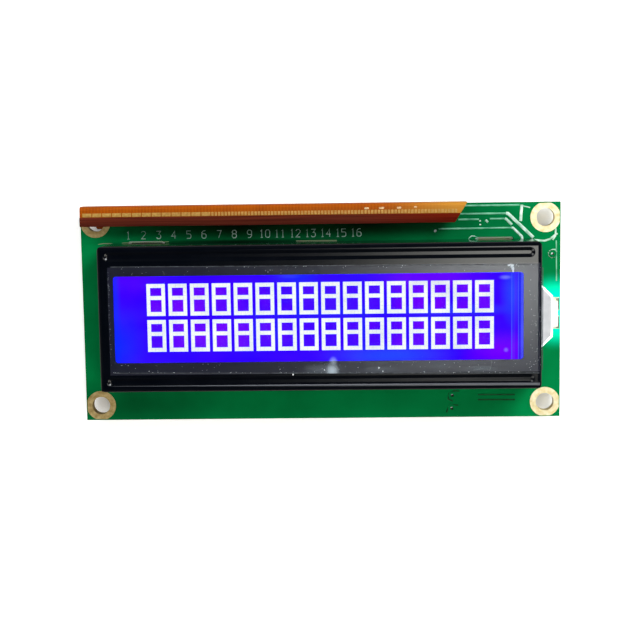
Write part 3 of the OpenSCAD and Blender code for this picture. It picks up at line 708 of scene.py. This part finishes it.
class MODULE_OT_film(bpy.types.Operator):
    """Finish the peel-off film and lay its painted crease highlights, scratches and dust"""

    bl_idname = "module.film"
    bl_label = "Protective film"

    def execute(self, context):
        look = context.scene.module.bezel
        # Cast polyester film held by its own cling: clear, a faint cool haze in streaks 14 mm
        # long and 3 mm wide, and a soft gloss of its own
        mat, tree, mm = material("polyester_film_cast")
        clear = add(tree, "ShaderNodeBsdfTransparent", {"Color": (0.97, 0.98, 1, 1)})
        gloss = add(tree, "ShaderNodeBsdfGlossy", {"Color": (1, 1, 1, 1), "Roughness": 0.1})
        shine = add(tree, "ShaderNodeMixShader", (glance(tree, 0.12), clear, gloss))
        streak = add(tree, "ShaderNodeVectorMath", (mm, (1 / 14, 1 / 3, 1)), operation="MULTIPLY")
        cloud = add(tree, "ShaderNodeTexNoise", {"Vector": streak, "Scale": 1, "Detail": 5})
        thin = {"Value": cloud, "From Min": 0.3, "From Max": 0.8, "To Min": 0.0, "To Max": 0.004}
        haze = add(tree, "ShaderNodeMapRange", thin)
        # Milky patches whiten it further
        for milky_patch in MILKY_PATCHES:
            haze = add(tree, "ShaderNodeMath", (haze, patch(tree, mm, *milky_patch)), operation="MAXIMUM")
        milky = add(tree, "ShaderNodeBsdfPrincipled", {"Base Color": look.film_haze, "Roughness": 0.6})
        close(mat, add(tree, "ShaderNodeMixShader", (haze, shine, milky)), "protective_film")

        # Dust, and painted highlights on the film's creases: matt white specks and ridges
        white = plain("dust_and_whitened_film", 0.2, "#9aa0a6", look.dust_and_glint, 0.8)
        # Slit edge of the film: a thin grey line that picks up the lights
        slit = plain("polyester_edge_slit", 0.7, "#202328", "#4c5055", 0.4)

        # Marks lie within the film's thickness
        low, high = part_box("protective_film")
        thick = 0.03 * MM
        z = high.z - 0.035 * MM
        left, right = low.x / MM + 0.06, high.x / MM - 0.06
        # The film's own outline at both ends, read from the part
        points = [v.co / MM for v in NODES["protective_film"].data.vertices]
        ends = []
        for near in (left, right):
            ys = [v.y for v in points if abs(v.x - near) < 2.5]
            ends.append((min(ys) + 0.05, max(ys) - 0.05))

        def rim(x, side):
            """How far up or down the film reaches at x."""
            share = (x - left) / (right - left)
            return ends[0][side] + (ends[1][side] - ends[0][side]) * share

        rng = random.Random(7)
        mesh = Mesh()
        # Creases drawn as painted highlights
        mesh.lines(CREASE_GLINTS, z, thick)

        def speck(x, y, size):
            """An uneven flake of dust."""
            turn = rng.uniform(0, math.tau)
            outline = []
            for k in range(7):
                a = turn + k / 7 * math.tau
                r = size / 2 * rng.uniform(0.6, 1.2)
                outline.append(((x + r * math.cos(a)) * MM, (y + r * math.sin(a)) * MM))
            mesh.slab(outline, z, z + thick, size * 0.3 * MM)

        # Dust gathers at the film's long edges, at its left end, on its right band and round the
        # window; four large flakes lie by themselves
        for k in range(90):
            x, side = rng.uniform(left + 0.5, right - 0.5), rng.choice((0, 0, 1))
            inward = (1 - 2 * side) * abs(rng.gauss(0, 0.12))
            speck(x, rim(x, side) + inward, rng.uniform(0.05, 0.15))
        for k in range(60):
            speck(left + abs(rng.gauss(0, 0.12)), rng.uniform(-8.4, 8.4), rng.uniform(0.03, 0.08))
        for k in range(60):
            speck(rng.uniform(34.0, right - 0.1), rng.uniform(-9.0, 8.0), rng.uniform(0.04, 0.1))
        for k in range(90):
            x, side = rng.uniform(-33, 35.5), rng.choice((0, 0, 1))
            speck(x, (-7.3 if side == 0 else 7.3) * rng.uniform(1.0, 1.16), rng.uniform(0.04, 0.12))
        for flake in ((-4.39, -9.2, 0.25), (9.6, -8.25, 0.3), (0.75, -8.5, 0.25), (10.25, -8.8, 0.2)):
            speck(*flake)
        mesh.piece("film_marks", white, "crease_mark")

        mesh = Mesh()
        edges = [[(x, rim(x, side)) for x in (left + 0.5, 0.0, right - 0.5)] for side in (0, 1)]
        edges.append([(right, -8.8), (right, 7.8)])
        # They show 0.12 mm wide
        mesh.lines([(0.12, *edge) for edge in edges], z, thick)
        mesh.lines(SCRATCHES, z, thick)
        mesh.piece("film_edges", slit, "crease_mark")
        return {"FINISHED"}


# Display


# Slow clouds in the lit field: centre and reach in mm, then the name of the colour and its strength
CLOUDS = (
    (-31.3, 6.4, 8.0, 4.0, "violet", 0.25),
    (18.1, 6.2, 12.0, 3.6, "violet", 0.75),
    (30.2, -5.9, 8.5, 4.2, "violet", 1.0),
    (-33.4, -4.6, 6.0, 8.0, "light", 0.8),
    (-3.9, 6.9, 5.5, 2.2, "light", 0.75),
    (0.9, 0.9, 20.0, 1.5, "light", 0.6),
    (22.0, 0.9, 14.0, 1.4, "pale", 0.6),
    (11.5, -6.5, 13.0, 2.6, "pale", 0.95),
    (31.6, 3.6, 2.6, 6.5, "pale", 0.85),
    (-10.4, -2.1, 0.6, 4.5, "light", 0.6),
    (-7.1, -2.1, 0.5, 4.5, "light", 0.5),
    (-3.5, 2.8, 0.6, 6.5, "light", 0.6),
    (7.2, -2.3, 0.6, 4.5, "light", 0.6),
    (17.9, -2.3, 0.6, 4.5, "light", 0.5),
)


def lit(mat, body, tone, strength, *nodes):
    """Closes a material that has no gloss of its own and passes the backlight in a tone."""
    finish = {"Base Color": body, "Roughness": 0.5, "Specular IOR Level": 0.0}
    finish |= {"Emission Color": tone, "Emission Strength": strength}
    close(mat, finish, *nodes)


class MODULE_OT_cell(bpy.types.Operator):
    """Finish the glass, the polarisers, the seals and the lit field"""

    bl_idname = "module.cell"
    bl_label = "Display cell"

    def execute(self, context):
        look = context.scene.module.display
        # Float glass and cast polariser sheet, laminated so that little light is lost between
        # them: clear, a faint cool tint in 4 mm patches, a weak mirror
        for name, tint, rough, nodes in (
            ("float_glass_drawn", "#f6fbf8", 0.04, ("front_glass", "rear_glass")),
            ("polariser_sheet_laminated", "#f0effa", 0.1, ("front_polariser", "rear_polariser")),
        ):
            mat, tree, mm = material(name)
            tone = mottle(tree, mm, 4, tint, "#ffffff")[0]
            clear = add(tree, "ShaderNodeBsdfTransparent", {"Color": tone})
            gloss = add(tree, "ShaderNodeBsdfGlossy", {"Color": (1, 1, 1, 1), "Roughness": rough})
            close(mat, add(tree, "ShaderNodeMixShader", (glance(tree, 0.06), clear, gloss)), *nodes)

        # Blue negative liquid crystal lit from behind: saturated blue that turns violet or light
        # blue in slow clouds, 17 mm across and more, where the layer's thickness changes
        mat, tree, mm = material("liquid_crystal_backlit")
        plane = add(tree, "ShaderNodeVectorMath", (mm, (1, 1, 0)), operation="MULTIPLY")
        tone = mottle(tree, plane, 17, look.field, "#3600ff", 2)[0]
        layers = [
            (patch(tree, mm, *place, strength), getattr(look, "field_" + name))
            for *place, name, strength in CLOUDS
        ]
        # Lines where the layers of the cell end, seen edge on at the window's right end: places
        # between x 31.0 and 33.2 mm, colour, strength
        x = add(tree, "ShaderNodeSeparateXYZ", {"Vector": mm}).outputs["X"]
        reach = add(tree, "ShaderNodeMapRange", {"Value": x, "From Min": 31.0, "From Max": 33.2})
        stops = [
            (place, (*linear(tint)[:3], strength))
            for place, tint, strength in (
                (0.1, "#4a62ff", 0.0),
                (0.14, "#4a62ff", 0.8),
                (0.2, "#4a62ff", 0.0),
                (0.42, "#6000ff", 0.3),
                (0.6, "#6000ff", 0.1),
                (0.64, "#4a62ff", 0.8),
                (0.7, "#1c18c8", 0.7),
                (0.78, "#1c18c8", 0.8),
                (0.84, "#4650dc", 0.9),
            )
        ]
        lines = add(tree, "ShaderNodeValToRGB", {"Fac": reach}, stops).outputs
        layers.append((lines["Alpha"], lines["Color"]))
        # and a lighter rim at its left end
        fade = {"Value": x, "From Min": -33.3, "From Max": -32.5, "To Min": 0.7, "To Max": 0.0}
        layers.append((add(tree, "ShaderNodeMapRange", fade), look.field_light))
        for share, over in layers:
            tone = add(tree, "ShaderNodeMix", {"Factor": share, "A": tone, "B": over}, data_type="RGBA")
        lit(mat, (0.0, 0.0, 0.02, 1), tone, look.glow, "liquid_crystal")

        # Screen-printed epoxy seal: dull and milky
        plain("epoxy_seal_printed", 0.5, "#8c8a80", "#c4c2b6", 0.4, "cell_seal")
        # Cured dab on the filling port: amber
        plain("port_sealant_cured", 0.5, "#6d5426", "#b8935a", 0.4, "end_seal")
        return {"FINISHED"}


class MODULE_OT_dots(bpy.types.Operator):
    """Lay the dots of all characters on the lit field"""

    bl_idname = "module.dots"
    bl_label = "Dots"

    def execute(self, context):
        look = context.scene.module.display
        # Etched electrode dots, in tones that change over 8 mm: where the crystal opens they pass
        # near-white light
        opened, tree, mm = material("open_crystal_dots")
        tone = mottle(tree, mm, 8, "#e6ecdf", look.lit, 2, (0.35, 0.6))[0]
        lit(opened, (0.02, 0.02, 0.02, 1), tone, look.glow)
        # Where it stays shut they show a deep violet, bluest in the middle of the display
        shut, tree, mm = material("closed_crystal_dots")
        tone = mottle(tree, mm, 8, "#4a00ff", look.unlit, 2, (0.35, 0.6))[0]
        middle = patch(tree, mm, 1.0, 0.0, 17.0, 20.0, 0.8)
        tone = add(tree, "ShaderNodeMix", {"Factor": middle, "A": tone, "B": "#3000ff"}, data_type="RGBA")
        lit(shut, (0.02, 0.02, 0.02, 1), tone, look.glow)

        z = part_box("liquid_crystal")[1].z
        meshes = {True: Mesh(), False: Mesh()}
        # Every character shows the same figure: a frame with one bar across
        rows, places = (0, 1), range(look.characters)
        for line, index, row, column in itertools.product(rows, places, range(8), range(5)):
            open_dot = row in (0, 3, 7) or column in (0, 4)
            cx = 0.06 * MM + (index - (look.characters - 1) / 2) * look.cell_x
            cy = 0.08 * MM + (0.5 - line) * look.cell_y
            x = cx + (column - 2) * look.pitch_x
            y = cy + (3.5 - row) * look.pitch_y
            dot = rect(x, y, look.dot_w, look.dot_d)
            meshes[open_dot].slab(dot, z - 0.01 * MM, z + 0.02 * MM, 0.008 * MM)
        meshes[True].piece("lit_dots", opened, "display_dots", smooth=False)
        meshes[False].piece("dark_dots", shut, "dark_dots", smooth=False)
        return {"FINISHED"}


# Backlight


class MODULE_OT_backlight(bpy.types.Operator):
    """Finish the zebra strips, the light guide, its tail and the lamp"""

    bl_idname = "module.backlight"
    bl_label = "Backlight and lamp"

    def execute(self, context):
        # Moulded ABS: even white with a faint sink pattern
        plain("white_abs_moulded", 2.0, "#d8d8d4", "#efefec", 0.45, "backlight_frame")
        # Extruded polyester film: flat matt white
        plain("white_polyester_extruded", 3.0, "#e6e6e6", "#f6f6f6", 0.6, "reflector_film", "diffuser_film")
        # Sliced silicone with carbon layers: dull pink-brown
        plain("silicone_sliced", 0.2, "#7c4a4c", "#b57f80", 0.7, "upper_zebra_strip", "lower_zebra_strip")
        # Moulded acrylic lit from its end: glows cool white along its rim
        plain("acrylic_guide_moulded", 2.0, "#dff4f2", "#ffffff", 0.2, "light_guide", detail=2, glow=0.75)
        # Light grey polyester tape with a matt face; some lamp light comes through it
        plain("grey_polyester_tape", 1.2, "#c2c2c6", "#d0d0d4", 0.55, "tail_cover", detail=4, glow=0.1)
        # Phosphor in clear resin, lit
        flecks = {"detail": 2, "spread": (0.3, 0.6)}
        plain("phosphor_lit", 0.3, "#d4fff2", "#ffffff", 0.3, "led_phosphor", glow=3.0, **flecks)

        # Lamp: white moulded resin that its own light floods, cream at its soldered ends
        mat, tree, mm = material("lamp_resin_moulded")
        low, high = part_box("led_housing")
        along = add(tree, "ShaderNodeSeparateXYZ", {"Vector": mm}).outputs["Y"]
        middle = (low.y + high.y) / 2 / MM
        along = add(tree, "ShaderNodeMath", (along, middle), operation="SUBTRACT")
        along = add(tree, "ShaderNodeMath", (along,), operation="ABSOLUTE")
        share = add(tree, "ShaderNodeMapRange", {"Value": along, "From Max": (high.y - low.y) / 2 / MM})
        tone = add(tree, "ShaderNodeValToRGB", {"Fac": share}, [(0.25, "#ffffff"), (0.9, "#f3ecd2")])
        finish = {"Base Color": tone, "Roughness": 0.35, "Emission Color": tone, "Emission Strength": 0.7}
        close(mat, finish, "led_housing")
        return {"FINISHED"}


# Flex circuit

# Plain printed bars on the flex circuit: centre and length in mm
BARS = ((7.9, 17.42, 0.75), (10.35, 17.44, 0.85), (13.25, 17.46, 0.7), (15.95, 17.52, 0.5))


class MODULE_OT_flex(bpy.types.Operator):
    """Finish the flex circuit, its stiffener and its contacts, and print its bars"""

    bl_idname = "module.flex"
    bl_label = "Flex circuit"

    def execute(self, context):
        look = context.scene.module.flex
        # Polyimide coverlay laminated over copper: glossy amber, deeper where copper lies under
        # it in lines 0.55 mm apart, paler and golden towards the mitred end
        mat, tree, mm = material("polyimide_coverlay_laminated")
        copper = {"Vector": mm, "Scale": BAND / 0.55, "Distortion": 0.3}
        lines = add(tree, "ShaderNodeTexWave", copper).outputs["Fac"]
        cloud = add(tree, "ShaderNodeTexNoise", {"Vector": mm, "Scale": 1 / 4, "Detail": 3})
        mixed = add(tree, "ShaderNodeMath", (lines, 0.3, cloud), operation="MULTIPLY_ADD")
        tone = add(tree, "ShaderNodeValToRGB", {"Fac": mixed}, [(0.35, look.amber_deep), (0.8, look.amber)])
        x = add(tree, "ShaderNodeSeparateXYZ", {"Vector": mm}).outputs["X"]
        end = {"Value": x, "From Min": 11.0, "From Max": 22.0, "To Max": 0.85}
        end = add(tree, "ShaderNodeMapRange", end)
        tone = add(tree, "ShaderNodeMix", {"Factor": end, "A": tone, "B": look.amber_pale}, data_type="RGBA")
        normal = add(tree, "ShaderNodeBump", {"Height": lines, "Strength": 0.2, "Distance": 0.01 * MM})
        finish = {"Base Color": tone, "Roughness": 0.4, "Normal": normal, "Specular IOR Level": 0.12}
        close(mat, finish, "interface_flex")

        # Rolled polyimide stiffener, slit along its length: brown with fine lengthwise streaks
        # 0.12 mm apart, redder towards its mitred end, and painted shade that darkens its lower edge
        # and lightens its upper edge
        mat, tree, mm = material("stiffener_polyimide_slit")
        stretched = add(tree, "ShaderNodeVectorMath", (mm, (1 / 18, 1 / 0.12, 1)), operation="MULTIPLY")
        brown, streak = mottle(tree, stretched, 1, "#381009", look.stiffener)
        red = mottle(tree, stretched, 1, "#4d0500", look.stiffener_red)[0]
        axes = add(tree, "ShaderNodeSeparateXYZ", {"Vector": mm}).outputs
        end = add(tree, "ShaderNodeMapRange", {"Value": axes["X"], "From Min": 6.0, "From Max": 20.0})
        tone = add(tree, "ShaderNodeMix", {"Factor": end, "A": brown, "B": red}, data_type="RGBA")
        # Painted shade across the bar: darker low, lighter high
        low, high = (corner.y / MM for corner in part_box("flex_stiffener"))
        fade = {"Value": axes["Y"], "From Min": low, "From Max": high, "To Min": 0.62, "To Max": 1.2}
        painted_shading = add(tree, "ShaderNodeMapRange", fade)
        tone = add(tree, "ShaderNodeVectorMath", {0: tone, "Scale": painted_shading}, operation="SCALE")
        normal = add(tree, "ShaderNodeBump", {"Height": streak, "Strength": 0.3, "Distance": 0.01 * MM})
        finish = {"Base Color": tone, "Roughness": 0.5, "Normal": normal, "Specular IOR Level": 0.04}
        close(mat, finish, "flex_stiffener")

        # Gold flash on rolled copper fingers: satin yellow with wear 0.4 mm across
        worn = {"detail": 4, "metal": 0.35}
        plain("gold_flash_on_copper", 0.4, "#a97c34", look.gold, 0.5, "flex_contacts", **worn)

        # Bars of pale ink, screen printed and patchy, 0.3 mm deep
        mat = plain("pale_ink_screen_printed", 0.25, "#c08a4a", look.bar, 0.7, spread=(0.38, 0.55))
        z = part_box("interface_flex")[1].z
        mesh = Mesh()
        for x, y, wide in BARS:
            bar = rect(x * MM, y * MM, wide * MM, 0.3 * MM, 0.08 * MM)
            mesh.slab(bar, z - 0.005 * MM, z + 0.02 * MM, 0.01 * MM)
        mesh.piece("flex_print", mat, "screen_print")
        return {"FINISHED"}


# Rear of the board


class MODULE_OT_rear(bpy.types.Operator):
    """Finish the epoxy domes, the dies and the chip parts behind the board"""

    bl_idname = "module.rear"
    bl_label = "Rear parts"

    def execute(self, context):
        # Glob-top epoxy, poured and baked: black, soft gloss, rippled 2.5 mm across
        mat, tree, mm = material("glob_top_epoxy_poured")
        tone, ripple = mottle(tree, mm, 2.5, "#0c0c0d", "#1a1a1c", 2)
        normal = add(tree, "ShaderNodeBump", {"Height": ripple, "Strength": 0.3, "Distance": 0.08 * MM})
        rough = add(tree, "ShaderNodeMapRange", {"Value": ripple, "To Min": 0.28, "To Max": 0.45})
        finish = {"Base Color": tone, "Roughness": rough, "Normal": normal}
        close(mat, finish, "controller_blob", "driver_blob")

        # Sawn and polished silicon: dark grey mirror
        plain("silicon_sawn", 1.0, "#4a4a55", "#6a6a75", 0.2, "controller_die", "driver_die", metal=0.8)
        # Glass overcoat printed on alumina: black gloss
        plain("resistor_overcoat_fired", 0.4, "#101012", "#1d1d20", 0.3, "chip_resistors")
        # Fired barium titanate: dull sandy brown
        plain("capacitor_ceramic_fired", 0.3, "#7a5f42", "#9c7f5c", 0.55, "chip_capacitors")
        return {"FINISHED"}


# Stage

# Radius of the floor in metres; how far its underside and its face lie below the module, in mm
FLOOR_RADIUS = 1.2
FLOOR_DEPTHS = (4, 0.02)
# The key light's place, the point that it looks at and its sides, in mm
KEY_PLACE = (67, 244, 600)
KEY_FOOT = (67, 244, 0)
KEY_SIDES = (320, 843)
# Distance and side of the low lamps, in mm
LAMP_AWAY = 600
LAMP_SIDE = 300
# Grey of the floor for light that bounces, so that it stays off the module's black sides
DIM = 0.3
# The key light's strength across it and along it: place, then share
KEY_ACROSS = (
    (0.02, 0),
    (0.12, 0.05),
    (0.19, 0.2),
    (0.27, 0.5),
    (0.35, 0.95),
    (0.4, 1),
    (0.46, 0.82),
    (0.54, 0.52),
    (0.65, 0.2),
    (0.75, 0.03),
    (1.0, 0),
)
KEY_ALONG = ((0.0, 0), (0.2, 1), (0.855, 1), (0.885, 0.7), (0.902, 0.35), (0.915, 0.03), (1.0, 0))


def area_light(name, place, target, size, power, tint):
    """A soft rectangular light that looks at a target, all in millimetres and watts."""
    data = bpy.data.lights.new(name, "AREA")
    data.shape = "RECTANGLE"
    data.size, data.size_y = size[0] * MM, size[1] * MM
    data.energy = power
    data.color = tint
    lamp = bpy.data.objects.new(name, data)
    lamp.location = Vector(place) * MM
    lamp.rotation_euler = (Vector(place) - Vector(target)).to_track_quat("Z", "Y").to_euler()
    bpy.context.scene.collection.objects.link(lamp)
    return data


class MODULE_OT_stage(bpy.types.Operator):
    """Set the floor, the room, the lights and the camera"""

    bl_idname = "module.stage"
    bl_label = "Stage"

    def execute(self, context):
        scene = context.scene
        look = scene.module.stage
        low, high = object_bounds()

        # Pale matt card, mottled 3 mm across; it shows white to the camera and keeps the module's
        # shadow
        mat, tree, mm = material("white_card")
        tone = mottle(tree, mm, 3, "#efefef", look.floor)[0]
        card = add(tree, "ShaderNodeBsdfDiffuse", {"Color": tone})
        # It lies darker straight under the board, where hardly any light reaches it
        axes = add(tree, "ShaderNodeSeparateXYZ", {"Vector": mm}).outputs
        under = []
        for axis, half in (("X", high.x / MM), ("Y", high.y / MM)):
            away = add(tree, "ShaderNodeMath", (axes[axis],), operation="ABSOLUTE")
            away = {"Value": away, "From Min": half - 1, "From Max": half}
            under.append(add(tree, "ShaderNodeMapRange", away))
        open_floor = add(tree, "ShaderNodeMath", under, operation="MAXIMUM")
        strength = add(tree, "ShaderNodeMapRange", {"Value": open_floor, "To Min": 0.2, "To Max": 0.5})
        # and whiter from 150 mm away on, where the lamps no longer reach it
        away = add(tree, "ShaderNodeVectorMath", (mm,), operation="LENGTH")
        away = {"Value": away, "From Min": 150.0, "From Max": 600.0, "To Max": 0.5}
        away = add(tree, "ShaderNodeMapRange", away)
        strength = add(tree, "ShaderNodeMath", (strength, away), operation="ADD")
        lift = add(tree, "ShaderNodeEmission", {"Color": (1, 1, 1, 1), "Strength": strength})
        seen = add(tree, "ShaderNodeAddShader", (card, lift))
        dim = add(tree, "ShaderNodeBsdfDiffuse", {"Color": (DIM, DIM, DIM, 1)})
        rays = add(tree, "ShaderNodeLightPath").outputs
        direct = (rays["Is Camera Ray"], rays["Is Transmission Ray"])
        direct = add(tree, "ShaderNodeMath", direct, operation="MAXIMUM")
        close(mat, add(tree, "ShaderNodeMixShader", (direct, dim, seen)))
        floor = Mesh()
        ring = circle(0.0, 0.0, FLOOR_RADIUS, 48)
        floor.ring_stack([[(x, y, low.z - depth * MM) for x, y in ring] for depth in FLOOR_DEPTHS])
        floor.build("floor", mat)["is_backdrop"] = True

        # Room: dim, and dark straight overhead where the camera's stand is, so black enamel
        # stays black
        world = bpy.data.worlds.new("room")
        scene.world = world
        world.use_nodes = True
        tree = world.node_tree
        tree.nodes.clear()
        up = add(tree, "ShaderNodeTexCoord").outputs["Generated"]
        up = add(tree, "ShaderNodeSeparateXYZ", {"Vector": up}).outputs["Z"]
        stops = [(0.0, (1, 1, 1, 1)), (0.55, (0.9, 0.92, 0.95, 1)), (0.86, (0.03, 0.03, 0.035, 1))]
        sky = add(tree, "ShaderNodeValToRGB", {"Fac": up}, stops)
        room = add(tree, "ShaderNodeBackground", {"Color": sky, "Strength": look.sky})
        white = add(tree, "ShaderNodeBackground", {"Color": (1, 1, 1, 1), "Strength": 1.0})
        camera_ray = add(tree, "ShaderNodeLightPath").outputs["Is Camera Ray"]
        mixed = add(tree, "ShaderNodeMixShader", (camera_ray, room, white))
        add(tree, "ShaderNodeOutputWorld", {"Surface": mixed})

        # Long light overhead, to the right, with soft edges: it fades in across the bezel's bands
        key = area_light("key", KEY_PLACE, KEY_FOOT, KEY_SIDES, look.key, (1, 1, 0.93))
        key.use_nodes = True
        tree = key.node_tree
        tree.nodes.clear()
        across = add(tree, "ShaderNodeNewGeometry").outputs["Parametric"]
        across = add(tree, "ShaderNodeSeparateXYZ", {"Vector": across}).outputs
        # Its parameters run from the right and from the top; the bright part runs at a slant
        slant = (across["Y"], -1.9, across["X"])
        slant = add(tree, "ShaderNodeMath", slant, operation="MULTIPLY_ADD")
        slant = add(tree, "ShaderNodeMath", (slant, 1.58), operation="ADD")
        fades = []
        for value, stops in ((slant, KEY_ACROSS), (across["Y"], KEY_ALONG)):
            grey = [(place, (v, v, v, 1)) for place, v in stops]
            fades.append(add(tree, "ShaderNodeValToRGB", {"Fac": value}, grey))
        soft = add(tree, "ShaderNodeMath", fades, operation="MULTIPLY")
        shine = add(tree, "ShaderNodeEmission", {"Strength": soft})
        add(tree, "ShaderNodeOutputLight", {"Surface": shine})
        # Low lights, all on the diagonals so that the bezel's straight rims stay dark. The one
        # from the upper right is the strongest and throws the flex circuit's shadow
        for name, turn, rise, power, tint in (
            ("upper_right", 45, 32, look.right, (0.93, 0.98, 1)),
            ("upper_left", 135, 32, look.left, (1, 1, 1)),
            ("lower_left", 225, 32, look.lower * 0.85, (1, 1, 0.95)),
            ("lower_right", 315, 36, look.lower, (1, 0.97, 0.85)),
        ):
            turn, rise = math.radians(turn), math.radians(rise)
            flat = LAMP_AWAY * math.cos(rise)
            place = (flat * math.cos(turn), flat * math.sin(turn), LAMP_AWAY * math.sin(rise))
            area_light(name, place, (0, 0, 0), (LAMP_SIDE, LAMP_SIDE), power, tint)

        camera = bpy.data.cameras.new("camera")
        camera.lens = look.lens
        camera.sensor_width = 36
        camera.clip_start, camera.clip_end = 0.005, 20
        view = bpy.data.objects.new("camera", camera)
        turn = Matrix.Identity(3)
        for angle, axis in zip(look.turn, "XYZ"):
            turn = Matrix.Rotation(angle, 3, axis) @ turn
        view.matrix_world = Matrix.Translation(look.eye) @ turn.transposed().to_4x4()
        scene.collection.objects.link(view)
        scene.camera = view
        scene.view_settings.view_transform = "Standard"
        return {"FINISHED"}


# Sidebar

STEPS = (
    MODULE_OT_board,
    MODULE_OT_plating,
    MODULE_OT_tracks,
    MODULE_OT_numbers,
    MODULE_OT_bezel,
    MODULE_OT_film,
    MODULE_OT_cell,
    MODULE_OT_dots,
    MODULE_OT_backlight,
    MODULE_OT_flex,
    MODULE_OT_rear,
    MODULE_OT_stage,
)


class MODULE_PT_panel(bpy.types.Panel):
    """Steps and settings of the display module"""

    bl_idname = "MODULE_PT_panel"
    bl_label = "Display Module"
    bl_space_type = "VIEW_3D"
    bl_region_type = "UI"
    bl_category = "Display Module"

    def draw(self, context):
        for step in STEPS:
            self.layout.operator(step.bl_idname)
        for group in ("board", "bezel", "display", "flex", "stage"):
            box = self.layout.box()
            box.label(text=group.capitalize())
            settings = getattr(context.scene.module, group)
            for name in settings.__annotations__:
                box.prop(settings, name)


CLASSES = (
    BoardSettings,
    BezelSettings,
    DisplaySettings,
    FlexSettings,
    StageSettings,
    ModuleSettings,
    *STEPS,
    MODULE_PT_panel,
)


def register():
    for cls in CLASSES:
        bpy.utils.register_class(cls)
    bpy.types.Scene.module = PointerProperty(type=ModuleSettings)


def unregister():
    del bpy.types.Scene.module
    for cls in reversed(CLASSES):
        bpy.utils.unregister_class(cls)


def main():
    register()
    for step in STEPS:
        group, name = step.bl_idname.split(".")
        getattr(getattr(bpy.ops, group), name)()


if __name__ == "__main__":
    main()
